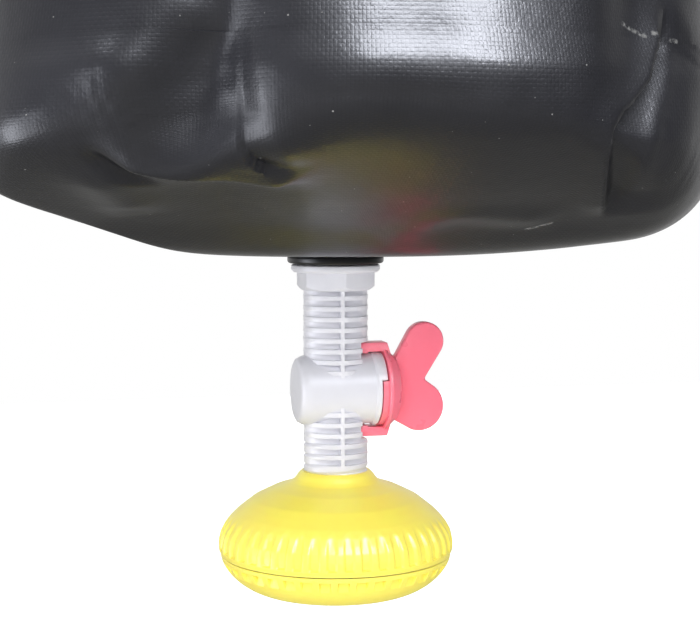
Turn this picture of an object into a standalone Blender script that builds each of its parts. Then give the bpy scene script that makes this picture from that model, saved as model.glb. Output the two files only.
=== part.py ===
"""Camp shower bag: a coated-fabric roll-top bag that hangs by its buckled loop,
with a tap and a two-part shower rose screwed into its base.

Metres, +Z up. The hang point, under the closed buckle, is the origin. The barrel
of the tap lies along X with its handle at +X, and the tap's front faces -Y.
Heights of the valve and rose are measured from the outlet plane, the underside
of the bag round its outlet.
"""

import math

import bmesh
import bpy
from mathutils import Matrix, Vector

# Clearances
GAP = 0.0003
OVERRUN = 0.002
JOIN_LAP = 0.0005
WELD_DISTANCE = 0.000001

# Facets
BAG_SIDES = 32
ROUND_SIDES = 28
BORE_SIDES = 16
ARC_STEPS = 4

# Bag fabric and outline
FABRIC = 0.0008
BAG_RADIUS = 0.1130
BAG_RISE = 0.3850
CUP_RISE = 0.0570
HEM_LAP = 0.0100
SHOULDER_RISE = 0.2300
OUTLET_FLAT = 0.0210
CORNER_START = 0.0840
CORNER_RISE = 0.0360
BASE_BULGE = 0.0045
MOUTH_HALF_THICKNESS = 0.0020
SHOULDER_EASE = 1.5
WALL_LEVELS = 5
SHOULDER_LEVELS = 6
OUTLINE_SHARES = (0.25, 0.5, 0.75, 1.0)

# Main folds of the slack bag, placed in the direction that it is seen from
VIEW_TURN = math.radians(-13)
FACET_START = 0.0426
FACET_SLOPE = math.radians(21.4)
FACET_SOFTNESS = 0.0020
KEEL_START = 0.0250
KEEL_RISE_SHARE = 0.72
KEEL_SOFTNESS = 0.0050
CORNER_INSET = 0.0060
CORNER_LOW = 0.0330
CORNER_SPAN = 0.0100
LEAN_START = 0.0400
LEAN_SPAN = 0.0700
LEAN_DEPTH = 0.0120
GATHER_COUNT = 9
GATHER_DEPTH = 0.0060
DIMPLE_SIDE = -0.0340
DIMPLE_HEIGHT = 0.0430
DIMPLE_HALF_WIDTH = 0.0260
DIMPLE_HALF_HEIGHT = 0.0200
DIMPLE_DEPTH = 0.0080
FOLD_TOP_SIDE = 0.0830
FOLD_TOP_HEIGHT = 0.0700
FOLD_FOOT_SIDE = 0.0690
FOLD_FOOT_HEIGHT = 0.0150
FOLD_HALF_WIDTH = 0.0100
FOLD_DEPTH = 0.0090
RIPPLE_DEPTH = 0.0025
RIPPLE_COUNT = 5

# Rolled mouth, its stiffener and the loop that it closes into
ROLL_HALF_LENGTH = 0.1800
ROLL_FLAT_HALF = 0.0620
ROLL_BEND_RADIUS = 0.0400
ROLL_BEND_TURN = math.radians(118)
ROLL_PLY = 0.0017
ROLL_PLY_GAP = 0.00035
ROLL_HALF_TURNS = 4
MOUTH_STANDOFF = 0.0026
MOUTH_EASE = 0.0100
STIFFENER_THICKNESS = 0.0015
STIFFENER_SHORT = 0.0200

# Webbing
WEBBING_WIDTH = 0.0200
WEBBING_THICKNESS = 0.0015
STRAP_RUN = 0.0120
STRAP_BEND_RADIUS = 0.0250
STRAP_TAIL = 0.0140

# Side-release buckle
BUCKLE_HALF_WIDTH = 0.0150
BUCKLE_THICKNESS = 0.0090
BUCKLE_WALL = 0.0016
BUCKLE_EDGE = 0.0010
SOCKET_LENGTH = 0.0270
SOCKET_DEPTH = 0.0190
WINDOW_START = 0.0050
WINDOW_LENGTH = 0.0110
WINDOW_ROOT = 0.0090
BAR_WIDTH = 0.0024
BAR_THICKNESS = 0.0034
SLOT_LENGTH = 0.0040
PLUG_HEAD = 0.0070
PLUG_FRAME = 0.0080
TONGUE_LENGTH = 0.0160
TONGUE_HALF_WIDTH = 0.0022
PRONG_THICKNESS = 0.0030
PRONG_OFFSET = 0.0085
PRONG_LENGTH = 0.0150
PRONG_ROOT = 0.0035
PRONG_PAD_LENGTH = 0.0085
PRONG_PAD_START = 0.0062
PRONG_PAD_HALF_WIDTH = 0.0146

# Bulkhead fitting
TAIL_RADIUS = 0.0085
TAIL_LENGTH = 0.0125
WATER_BORE_RADIUS = 0.0045
GASKET_RADIUS = 0.0144
GASKET_THICKNESS = 0.0024
GASKET_EDGE = 0.0004
NUT_ACROSS_FLATS = 0.0250
NUT_HEIGHT = 0.0060
NUT_FLANGE_HEIGHT = 0.0015
FLANGE_RADIUS = 0.0133
FLANGE_THICKNESS = 0.0023
FLANGE_CHAMFER = 0.0005
HEX_ACROSS_FLATS = 0.0209
HEX_HEIGHT = 0.0054
HEX_TURN = math.radians(32)
HEX_CHAMFER = 0.0010

# Finned pipe
PIPE_RADIUS = 0.00966
PIPE_CORE_DEPTH = 0.0073
PIPE_RIB_HALF_WIDTH = 0.00055
PIPE_END = 0.0770
FIN_GAP = 0.00185
FIN_PITCH = 0.00317
UPPER_FIN_START = 0.01023
UPPER_FIN_COUNT = 10
LOWER_FIN_START = 0.0448
LOWER_FIN_COUNT = 6
FIN_SIDE_STEPS = 5

# Tap barrel
BARREL_DEPTH = 0.0407
BARREL_RADIUS = 0.0106
BARREL_LEFT = 0.0118
BARREL_WALL = 0.0028
BARREL_EDGE = 0.0008
BARREL_DOME = 0.0014
BARREL_FACE_RADIUS = 0.0087
RIM_START = 0.0106
RIM_END = 0.0119
RIM_RADIUS = 0.0111
STOP_LENGTH = 0.0017
STOP_FROM = math.radians(19)
STOP_ANGLE = math.radians(90)
TAP_TURN = math.radians(90)
SECTOR_INNER_RADIUS = 0.0087
SECTOR_STEP = math.radians(12)

# Tap key
KEY_PLUG_RADIUS = 0.0080
KEY_PLUG_END = 0.0087
CAP_RADIUS = 0.0124
CAP_RIM = 0.0013
CAP_TAPER = 0.0029
CAP_FACE_RADIUS = 0.0094
HOOK_START = 0.0069
HOOK_OUTER_RADIUS = 0.0141
HOOK_HALF_WIDTH = 0.0034
HOOK_BARB = 0.0024
WING_HALF_THICKNESS = 0.0022
WING_EDGE = 0.0007
WING_ROOT_TOP = 0.0094
WING_ROOT_FOOT = 0.0099
WING_UPPER_OUT = 0.0274
WING_UPPER_HEIGHT = 0.0140
WING_UPPER_RADIUS = 0.0059
WING_LOWER_OUT = 0.0258
WING_LOWER_HEIGHT = -0.0057
WING_LOWER_RADIUS = 0.0075
WING_NOTCH_OUT = 0.0272
WING_NOTCH_HEIGHT = 0.0025
ORING_SECTION_RADIUS = 0.0007
ORING_OFFSET = 0.0066
ORING_SIDES = 6

# Shower head
HEAD_RADIUS = 0.0353
HEAD_WALL = 0.0020
COLLAR_TOP = 0.0651
COLLAR_RADIUS = 0.0106
COLLAR_FOOT_RADIUS = 0.0130
COLLAR_HEIGHT = 0.0032
EQUATOR_DEPTH = 0.0860
SEAM_DEPTH = 0.0899
SEAM_RADIUS = 0.0347
DOME_POWER = 1.5
DOME_STEPS = 6
FLUTE_COUNT = 44
FLUTE_TURN = math.radians(5.66)
FLUTE_FACETS = 2
FLUTE_DEPTH = 0.0007
FLUTE_TOP = 0.0776
FLUTE_FOOT = 0.0883
HEAD_GASKET_THICKNESS = 0.0020
HEAD_GASKET_BORE = 0.0050
SHELF_THICKNESS = 0.0024
BOSS_RADIUS = 0.0125
SOCKET_RADIUS = 0.0326
LEDGE_RADIUS = 0.0302
LEDGE_DEPTH = 0.0843
SEAL_HEIGHT = 0.0016
SPIGOT_WALL = 0.0020

# Rose cap
ROSE_DEPTH = 0.1010
ROSE_FACE_RADIUS = 0.0220
ROSE_FACE_THICKNESS = 0.0018
ROSE_BULGE = 0.0008
ROSE_POWER = 1.6
ROSE_STEPS = 3
CELL_COUNT = 40
CELL_TURN = math.radians(2.83)
CELL_TOP = 0.0014
CELL_FLOOR_RADIUS = 0.0328
CELL_HEIGHT = 0.0045
CELL_WEB_SHARE = 0.34
CELL_DRAFT_SHARE = 0.05
JET_RINGS = 3
JET_STEP = 0.0060
JET_PER_RING = 6
JET_RADIUS = 0.0006
JET_SIDES = 6

# Derived sizes
BUCKLE_AXIS = BUCKLE_THICKNESS / 2
BAR_CENTRE = SOCKET_LENGTH - BAR_WIDTH / 2 + GAP
ROLL_STRAIGHT = ROLL_HALF_LENGTH - ROLL_FLAT_HALF - ROLL_BEND_RADIUS * ROLL_BEND_TURN
ROLL_PITCH = ROLL_PLY + ROLL_PLY_GAP
ROLL_CORE = STIFFENER_THICKNESS / 2 + GAP + ROLL_PLY / 2
ROLL_CAP_CENTRE = WEBBING_WIDTH / 2
ROLL_HALF_DEPTH = ROLL_CORE + ROLL_PITCH * ROLL_HALF_TURNS / 2 + ROLL_PLY / 2
MOUTH_HALF_LENGTH = ROLL_FLAT_HALF + ROLL_BEND_RADIUS * math.pi / 2
OUTLET_HOLE = TAIL_RADIUS + GAP
FLANGE_TOP = 2 * GAP + GASKET_THICKNESS
HEX_TOP = FLANGE_TOP + FLANGE_THICKNESS
HEX_FOOT = HEX_TOP + HEX_HEIGHT
BARREL_BORE = KEY_PLUG_RADIUS + GAP
CAP_START = RIM_END + STOP_LENGTH + GAP
CAP_END = CAP_START + CAP_RIM + CAP_TAPER
HEAD_BORE = PIPE_RADIUS + GAP
GASKET_SEAT = PIPE_END + 2 * GAP + HEAD_GASKET_THICKNESS
SHELF_FOOT = GASKET_SEAT + SHELF_THICKNESS
ROSE_TOP = SEAM_DEPTH + GAP
SPIGOT_RADIUS = SOCKET_RADIUS - GAP
SPIGOT_TOP = LEDGE_DEPTH + 2 * GAP + SEAL_HEIGHT
VIEW_SIDE = Vector((math.cos(VIEW_TURN), math.sin(VIEW_TURN), 0))
VIEW_NEAR = Vector((math.sin(VIEW_TURN), -math.cos(VIEW_TURN), 0))


def make_material(name, colour, roughness, metallic=0.0):
    """A Principled material in one plain colour."""
    material = bpy.data.materials.new(name)
    material.use_nodes = True
    shader = material.node_tree.nodes["Principled BSDF"]
    shader.inputs["Base Color"].default_value = (*colour, 1)
    shader.inputs["Roughness"].default_value = roughness
    shader.inputs["Metallic"].default_value = metallic
    material.diffuse_color = (*colour, 1)
    return material


def clear_scene():
    for obj in list(bpy.data.objects):
        bpy.data.objects.remove(obj, do_unlink=True)


def add_object(name, bm, material=None, location=(0, 0, 0)):
    """A new object from a bmesh, with outward normals."""
    bmesh.ops.remove_doubles(bm, verts=bm.verts, dist=WELD_DISTANCE)
    bmesh.ops.recalc_face_normals(bm, faces=bm.faces)
    if bm.calc_volume(signed=True) < 0:
        bmesh.ops.reverse_faces(bm, faces=bm.faces)
    mesh = bpy.data.meshes.new(name)
    bm.to_mesh(mesh)
    bm.free()
    obj = bpy.data.objects.new(name, mesh)
    bpy.context.scene.collection.objects.link(obj)
    obj.location = location
    if material:
        mesh.materials.append(material)
    return obj


def helper(name, bm):
    """A cutter or a piece to be joined, kept out of the render."""
    obj = add_object(name, bm)
    obj.hide_render = True
    obj.display_type = "WIRE"
    return obj


def apply_modifiers(obj):
    """Replaces the mesh with what its modifiers make of it."""
    graph = bpy.context.evaluated_depsgraph_get()
    graph.update()
    mesh = bpy.data.meshes.new_from_object(obj.evaluated_get(graph))
    obj.modifiers.clear()
    obj.data = mesh


def combine(obj, operation, others):
    """Cuts the others from an object or joins them to it, then removes them."""
    for other in others:
        modifier = obj.modifiers.new(other.name, "BOOLEAN")
        modifier.operation = operation
        modifier.solver = "EXACT"
        modifier.object = other
    apply_modifiers(obj)
    for other in others:
        bpy.data.objects.remove(other, do_unlink=True)


def finish(obj, sharp=math.radians(32)):
    """Smooth shading with sharp edges kept."""
    obj.data.shade_smooth()
    obj.data.set_sharp_from_angle(angle=sharp)


def bevel(obj, width, segments=1, angle=math.radians(40)):
    """Rounds an object's sharp edges."""
    modifier = obj.modifiers.new("edges", "BEVEL")
    modifier.width = width
    modifier.segments = segments
    modifier.limit_method = "ANGLE"
    modifier.angle_limit = angle
    apply_modifiers(obj)


def loft(bm, rings, closed=False):
    """Skins closed rings of equal count. An open stack gets flat end faces."""
    loops = [[bm.verts.new(point) for point in ring] for ring in rings]
    pairs = list(zip(loops, loops[1:]))
    if closed:
        pairs.append((loops[-1], loops[0]))
    else:
        bm.faces.new(loops[0])
        bm.faces.new(loops[-1])
    for lower, upper in pairs:
        for i in range(len(lower)):
            j = (i + 1) % len(lower)
            bm.faces.new((lower[i], lower[j], upper[j], upper[i]))


def thin_shell(bm, outer, inner):
    """Joins two matching stacks of rings into one wall.

    Both of its sides are split along the same diagonals, so that a twisted stretch
    never crosses itself.
    """
    count = len(outer[0])
    sides = [[[bm.verts.new(point) for point in ring] for ring in rings] for rings in (outer, inner)]
    for loops in sides:
        for lower, upper in zip(loops, loops[1:]):
            for i in range(count):
                j = (i + 1) % count
                bm.faces.new((lower[i], lower[j], upper[j]))
                bm.faces.new((lower[i], upper[j], upper[i]))
    for end in (0, -1):
        first, second = sides[0][end], sides[1][end]
        for i in range(count):
            j = (i + 1) % count
            bm.faces.new((first[i], first[j], second[j], second[i]))


def turned(profile, sides, axis="Z"):
    """A bmesh of a closed (radius, height) profile turned round an axis."""
    bm = bmesh.new()
    rings = []
    for radius, height in profile:
        ring = []
        for i in range(sides):
            turn = math.tau * i / sides
            across = radius * math.cos(turn), radius * math.sin(turn)
            ring.append((*across, height) if axis == "Z" else (height, *across))
        rings.append(ring)
    loft(bm, rings)
    return bm


def tube(inner, outer, low, high, sides, edge=0.0):
    """A bmesh of a plain ring, with its outer edges chamfered."""
    bm = bmesh.new()
    profile = [(inner, low), (outer - edge, low), (outer, low + edge)]
    profile += [(outer, high - edge), (outer - edge, high), (inner, high)]
    rings = []
    for radius, height in profile:
        turns = [math.tau * i / sides for i in range(sides)]
        rings.append([(radius * math.cos(a), radius * math.sin(a), height) for a in turns])
    loft(bm, rings, closed=True)
    return bm


def box(low, high):
    """A bmesh of a box between two corners."""
    bm = bmesh.new()
    size = [b - a for a, b in zip(low, high)]
    middle = [(a + b) / 2 for a, b in zip(low, high)]
    bmesh.ops.create_cube(bm, size=1, matrix=Matrix.Translation(middle) @ Matrix.Diagonal((*size, 1)))
    return bm


def prism(outline, low, high, axis="Y"):
    """A bmesh of a closed outline drawn out along Y from (x, z) or along Z from (x, y)."""
    bm = bmesh.new()
    if axis == "Y":
        rings = [[(a, level, b) for a, b in outline] for level in (low, high)]
    else:
        rings = [[(a, b, level) for a, b in outline] for level in (low, high)]
    loft(bm, rings)
    return bm


def offset_line(points, distance):
    """A plane polyline moved sideways by a distance, to the left of its direction."""
    moved = []
    for i, point in enumerate(points):
        ahead = Vector(points[min(i + 1, len(points) - 1)]) - Vector(point)
        behind = Vector(point) - Vector(points[max(i - 1, 0)])
        normals = [Vector((-d.y, d.x)).normalized() for d in (behind, ahead) if d.length > 0]
        middle = sum(normals, Vector((0, 0))).normalized()
        stretch = max(middle.dot(normals[0]), 0.5)
        moved.append(tuple(Vector(point) + middle * (distance / stretch)))
    return moved


def superellipse(width, height, power, share):
    """A point on a rounded quarter outline, from its top at share 0 to its side at 1."""
    turn = share * math.pi / 2
    across = math.sin(turn) ** (2 / power)
    up = math.cos(turn) ** (2 / power) if share < 1 else 0.0
    return width * across, height * up


def arc(centre, radius, first, last, steps):
    """(x, z) points of an arc, angles in radians from +X."""
    turns = [first + (last - first) * i / steps for i in range(steps + 1)]
    return [(centre[0] + radius * math.cos(a), centre[1] + radius * math.sin(a)) for a in turns]


def loop_point(distance):
    """Place (x, z) and heading on the right half of the closed loop, from its middle.

    The roll lies flat, bends up, and its webbing bends over to the buckle.
    """
    stretches = [
        (ROLL_FLAT_HALF, 0.0),
        (ROLL_BEND_RADIUS * ROLL_BEND_TURN, ROLL_BEND_TURN),
        (ROLL_STRAIGHT + STRAP_RUN, 0.0),
        (STRAP_BEND_RADIUS * (math.pi - ROLL_BEND_TURN), math.pi - ROLL_BEND_TURN),
        (ROLL_HALF_LENGTH, 0.0),
    ]
    x, z, heading = 0.0, 0.0, 0.0
    for length, turn in stretches:
        walked = min(distance, length)
        if turn:
            radius = length / turn
            after = heading + walked / radius
            x += radius * (math.sin(after) - math.sin(heading))
            z += radius * (math.cos(heading) - math.cos(after))
            heading = after
        else:
            x += walked * math.cos(heading)
            z += walked * math.sin(heading)
        distance -= walked
        if distance <= 0:
            break
    return x, z, heading


STRAP_BEND_START = ROLL_HALF_LENGTH + STRAP_RUN
STRAP_BEND_END = STRAP_BEND_START + STRAP_BEND_RADIUS * (math.pi - ROLL_BEND_TURN)
ROLL_LEVEL = BUCKLE_AXIS - loop_point(STRAP_BEND_END)[1]
OUTLET_LEVEL = ROLL_LEVEL - ROLL_HALF_DEPTH - GAP - BAG_RISE


def roll_station(distance, offset=0.0):
    """(x, z) at a signed distance along the roll, moved towards its hollow side."""
    x, z, heading = loop_point(abs(distance))
    side = 1 if distance >= 0 else -1
    return side * (x - offset * math.sin(heading)), z + offset * math.cos(heading)


def view_parts(point):
    """How far a point lies to the side and towards where the bag is seen from."""
    return Vector(point).dot(VIEW_SIDE), Vector(point).dot(VIEW_NEAR)


def smooth_step(value):
    value = max(0.0, min(1.0, value))
    return value * value * (3 - 2 * value)


def smooth_max(first, second, softness):
    """The larger of two heights, blended over a short stretch."""
    return (first + second + math.sqrt((first - second) ** 2 + softness**2)) / 2


def base_lift(side, near, height):
    """How far the base rises: a facet to the left, and a slope to the front and back.

    The slack bag hangs as a trough along the rolled mouth, so its front and back
    rise towards the wall while the line through the outlet stays low.
    """
    facet = math.tan(FACET_SLOPE) * (-side - FACET_START)
    keel = KEEL_RISE_SHARE * CUP_RISE * (abs(near) - KEEL_START) / (BAG_RADIUS - KEEL_START)
    off_facet = smooth_step(-side / FACET_START)
    away = smooth_step((math.hypot(side, near) - OUTLET_FLAT) / KEEL_START)
    away *= smooth_step((abs(near) - OUTLET_FLAT) / KEEL_START)
    raised = max(0.0, smooth_max(facet, height, FACET_SOFTNESS) - height) * off_facet
    raised = max(raised, (smooth_max(keel, height, KEEL_SOFTNESS) - height) * away)
    return raised


def lean_inward(near, height):
    """How far the front and back draw in: a soft turn, then a lean to the flat mouth."""
    turn = CORNER_INSET * smooth_step((height - CORNER_LOW) / CORNER_SPAN)
    climb = LEAN_DEPTH * smooth_step((height - LEAN_START) / LEAN_SPAN)
    return (turn + climb) * smooth_step(abs(near) / BAG_RADIUS)


def fold_shift(point, hold=1.0):
    """How far the main folds move a point of the plain bag outline.

    Heights are measured from the outlet plane. A hold of 0 leaves the point. The
    stiff welded hem moves as one band.
    """
    side, near = view_parts(point)
    height = point[2]
    hem = CUP_RISE - HEM_LAP / 2
    if abs(height - hem) < HEM_LAP / 2 + GAP:
        height = hem
    lift = base_lift(side, near, height)
    dimple = math.exp(
        -(((side - DIMPLE_SIDE) / DIMPLE_HALF_WIDTH) ** 2)
        - ((height - DIMPLE_HEIGHT) / DIMPLE_HALF_HEIGHT) ** 2
    )
    along = (height - FOLD_FOOT_HEIGHT) / (FOLD_TOP_HEIGHT - FOLD_FOOT_HEIGHT)
    line = FOLD_FOOT_SIDE + along * (FOLD_TOP_SIDE - FOLD_FOOT_SIDE)
    crease = math.exp(-(((side - line) / FOLD_HALF_WIDTH) ** 2))
    crease *= smooth_step(along) * smooth_step(2 - along)
    inward = (dimple * DIMPLE_DEPTH + crease * FOLD_DEPTH) * smooth_step(near / FACET_START)
    turn = math.atan2(point[1], point[0])
    wall = smooth_step(height / CORNER_RISE)
    inward += RIPPLE_DEPTH * wall * (1 - math.cos(RIPPLE_COUNT * turn)) / 2
    outward = Vector((point[0], point[1], 0)).normalized()
    drawn = lean_inward(near, point[2] + lift * hold)
    return (Vector((0, 0, lift)) - outward * inward) * hold - outward * drawn


def folded_ring(nominal, moved, hold=1.0):
    """A ring of points, each moved as the folds move the outer outline there."""
    return [Vector(b) + fold_shift(a, hold) for a, b in zip(nominal, moved)]


def round_ring(radius, height, sides=BAG_SIDES):
    turns = [math.tau * i / sides for i in range(sides)]
    return [(radius * math.cos(a), radius * math.sin(a), height) for a in turns]


def cup_outline(clear):
    """(radius, height) points of the base cup's outer side, from outlet to rim."""
    wall = BAG_RADIUS + clear
    points = [(OUTLET_HOLE, 0.0), (OUTLET_FLAT, 0.0)]
    for share in OUTLINE_SHARES:
        radius = OUTLET_FLAT + share * (CORNER_START - OUTLET_FLAT)
        points.append((radius, BASE_BULGE * share**2))
    for share in OUTLINE_SHARES:
        across, up = superellipse(wall - CORNER_START, CORNER_RISE - BASE_BULGE, 2, share)
        points.append((CORNER_START + across, CORNER_RISE - up))
    points.append((wall, CUP_RISE - HEM_LAP))
    points.append((wall, CUP_RISE))
    return points


def build_base_cup(material):
    """The moulded-up base: a flat seat, a rounded corner and a wall up to its weld."""
    outer = cup_outline(FABRIC + GAP)
    plain = [round_ring(*point) for point in cup_outline(0.0)]
    sides = []
    for side in (outer, offset_line(outer, FABRIC)):
        sides.append([folded_ring(ring, round_ring(*point)) for ring, point in zip(plain, side)])
    bm = bmesh.new()
    thin_shell(bm, *sides)
    finish(add_object("base_cup", bm, material, (0, 0, OUTLET_LEVEL)))


def shoulder_ring(share, inset):
    """A ring between the round tube (share 0) and the flat rolled mouth (share 1)."""
    ring = []
    for i in range(BAG_SIDES):
        turn = math.tau * i / BAG_SIDES
        round_point = BAG_RADIUS * math.cos(turn), BAG_RADIUS * math.sin(turn), SHOULDER_RISE
        drawn = lean_inward(view_parts(round_point)[1], SHOULDER_RISE)
        radius = BAG_RADIUS - inset - drawn
        low = Vector((radius * math.cos(turn), radius * math.sin(turn), SHOULDER_RISE))
        run = turn / math.pi if turn <= math.pi else (math.tau - turn) / math.pi
        distance = MOUTH_HALF_LENGTH * (1 - 2 * run)
        bent = smooth_step((abs(distance) - ROLL_FLAT_HALF) / MOUTH_EASE)
        x, z = roll_station(distance, -ROLL_HALF_DEPTH - GAP - MOUTH_STANDOFF * bent)
        depth = (MOUTH_HALF_THICKNESS - inset) * math.copysign(1, math.sin(turn))
        if i % (BAG_SIDES // 2) == 0:
            depth = 0.0
        high = Vector((x - 2 * inset * (1 - 2 * run), depth, z + ROLL_LEVEL - OUTLET_LEVEL))
        place = low.lerp(high, share**SHOULDER_EASE)
        gather = GATHER_DEPTH * max(0.0, -math.sin(GATHER_COUNT * turn)) * abs(math.sin(turn))
        gather *= 4 * share * (1 - share)
        place -= Vector((place.x, place.y, 0)).normalized() * gather
        place.z = low.lerp(high, share).z
        ring.append(place)
    return ring


def build_bag_body(material):
    """The tube wall, drawn in from round to the flat mouth that runs into the roll."""
    step = (SHOULDER_RISE - CUP_RISE) / WALL_LEVELS
    wall_levels = [CUP_RISE - HEM_LAP] + [CUP_RISE + step * i for i in range(WALL_LEVELS)]
    sides = []
    for inset in (0.0, FABRIC):
        rings = []
        for level in wall_levels:
            nominal = round_ring(BAG_RADIUS, level)
            hold = 1 - smooth_step((level - CUP_RISE) / (SHOULDER_RISE - CUP_RISE))
            rings.append(folded_ring(nominal, round_ring(BAG_RADIUS - inset, level), hold))
        for i in range(SHOULDER_LEVELS + 1):
            rings.append(shoulder_ring(i / SHOULDER_LEVELS, inset))
        sides.append(rings)
    bm = bmesh.new()
    thin_shell(bm, *sides)
    finish(add_object("bag_body", bm, material, (0, 0, OUTLET_LEVEL)))


def roll_marks(first, last):
    """Distances along the loop from one to another, close together in its first bend."""
    steps = 2 * ARC_STEPS - 1
    bend = ROLL_BEND_RADIUS * ROLL_BEND_TURN
    marks = [ROLL_FLAT_HALF + bend * i / steps for i in range(steps + 1)]
    return [first] + [mark for mark in marks if first < mark < last] + [last]


def sweep_roll(section, half_length):
    """A bmesh of a (across, inward) section carried along the roll."""
    right = roll_marks(ROLL_FLAT_HALF, half_length)
    bm = bmesh.new()
    rings = []
    for distance in [-mark for mark in right[::-1]] + right:
        ring = []
        for across, inward in section:
            x, z = roll_station(distance, inward)
            ring.append((x, across, z))
        rings.append(ring)
    loft(bm, rings)
    return bm


def build_rolled_mouth(material):
    """The mouth wound flat round its stiffener, as one spiral ply."""
    line = []
    for half_turn in range(ROLL_HALF_TURNS):
        centre = ROLL_CAP_CENTRE if half_turn % 2 else -ROLL_CAP_CENTRE
        for i in range(ARC_STEPS):
            turn = math.pi * (half_turn + i / (ARC_STEPS - 1))
            radius = ROLL_CORE + ROLL_PITCH * turn / math.tau
            line.append((centre - radius * math.sin(turn), -radius * math.cos(turn)))
    line.append((-MOUTH_HALF_THICKNESS, line[-1][1]))
    section = offset_line(line, ROLL_PLY / 2) + offset_line(line, -ROLL_PLY / 2)[::-1]
    bm = sweep_roll(section, ROLL_HALF_LENGTH)
    finish(add_object("rolled_mouth", bm, material, (0, 0, ROLL_LEVEL)))


def build_stiffener(material):
    half = STIFFENER_THICKNESS / 2
    across = WEBBING_WIDTH / 2
    section = [(-across, -half), (across, -half), (across, half), (-across, half)]
    bm = sweep_roll(section, ROLL_HALF_LENGTH - STIFFENER_SHORT)
    finish(add_object("stiffener_strip", bm, material, (0, 0, ROLL_LEVEL)))


def strap_line():
    """(x, z) centre line of the right strap, from the roll's core round the bar."""
    line = []
    start = ROLL_HALF_LENGTH - STIFFENER_SHORT + GAP
    for distance in roll_marks(start, ROLL_HALF_LENGTH) + [STRAP_BEND_START]:
        line.append(loop_point(distance)[:2])
    for i in range(1, ARC_STEPS + 1):
        share = i / ARC_STEPS
        line.append(loop_point(STRAP_BEND_START + share * (STRAP_BEND_END - STRAP_BEND_START))[:2])
    top = line[-1][1]
    lift = BAR_THICKNESS / 2 + GAP + WEBBING_THICKNESS / 2
    reach = BAR_WIDTH / 2 + GAP + WEBBING_THICKNESS / 2
    ease = 2 * lift
    line.append((BAR_CENTRE + reach + ease, top))
    line.append((BAR_CENTRE + BAR_WIDTH / 2, top + lift))
    hug = GAP + WEBBING_THICKNESS / 2
    for first, corner in ((math.pi / 2, BAR_THICKNESS / 2), (math.pi, -BAR_THICKNESS / 2)):
        line += arc((BAR_CENTRE - BAR_WIDTH / 2, top + corner), hug, first, first + math.pi / 2, 2)
    line.append((BAR_CENTRE + BAR_WIDTH / 2, top - lift))
    under = WEBBING_THICKNESS + GAP
    line.append((BAR_CENTRE + reach + ease, top - under))
    line.append((BAR_CENTRE + reach + STRAP_TAIL, top - under))
    return line


def build_strap(name, side, material):
    """One webbing strap: single ply out of the roll, looped round its buckle bar."""
    line = strap_line()
    half = WEBBING_THICKNESS / 2
    outline = offset_line(line, half) + offset_line(line, -half)[::-1]
    outline = [(side * x, z) for x, z in outline]
    bm = prism(outline, -WEBBING_WIDTH / 2, WEBBING_WIDTH / 2)
    finish(add_object(name, bm, material, (0, 0, ROLL_LEVEL)))


def slot_box(name, inner, outer):
    """A cutter for webbing between two distances from the buckle's middle."""
    half = WEBBING_WIDTH / 2 + GAP
    low = (inner, -half, -BUCKLE_THICKNESS)
    return helper(name, box(low, (outer, half, BUCKLE_THICKNESS)))


def build_buckle_socket(material):
    """The hollow half, with side windows for the prong pads and a bar at its end."""
    half = BUCKLE_THICKNESS / 2
    shell = box((-SOCKET_LENGTH - GAP, -BUCKLE_HALF_WIDTH, -half), (-GAP, BUCKLE_HALF_WIDTH, half))
    obj = add_object("buckle_socket", shell, material)
    bevel(obj, BUCKLE_EDGE, 2)
    room = half - BUCKLE_WALL
    width = BUCKLE_HALF_WIDTH - BUCKLE_WALL
    cavity = helper("cavity", box((-SOCKET_DEPTH, -width, -room), (OVERRUN, width, room)))
    cutters = [cavity]
    for side in (-1, 1):
        edges = sorted((side * WINDOW_ROOT, side * (BUCKLE_HALF_WIDTH + OVERRUN)))
        low = (-WINDOW_START - WINDOW_LENGTH, edges[0], -room)
        cutters.append(helper(f"window{side}", box(low, (-WINDOW_START, edges[1], room))))
    inner = BAR_CENTRE - BAR_WIDTH / 2
    cutters.append(slot_box("slot", -inner, -inner + SLOT_LENGTH))
    combine(obj, "DIFFERENCE", cutters)
    thin_bar(obj, -1)
    obj.location = (0, 0, BUCKLE_AXIS)
    finish(obj)


def thin_bar(obj, side):
    """Cuts the webbing bar down to its own thickness, above and below."""
    half = WEBBING_WIDTH / 2 + GAP
    ends = sorted((side * (BAR_CENTRE - BAR_WIDTH), side * (BAR_CENTRE + BAR_WIDTH / 2 + OVERRUN)))
    cutters = []
    for level in (-1, 1):
        edges = sorted((level * BAR_THICKNESS / 2, level * BUCKLE_THICKNESS))
        space = box((ends[0], -half, edges[0]), (ends[1], half, edges[1]))
        cutters.append(helper(f"thin{level}", space))
    combine(obj, "DIFFERENCE", cutters)


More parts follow.
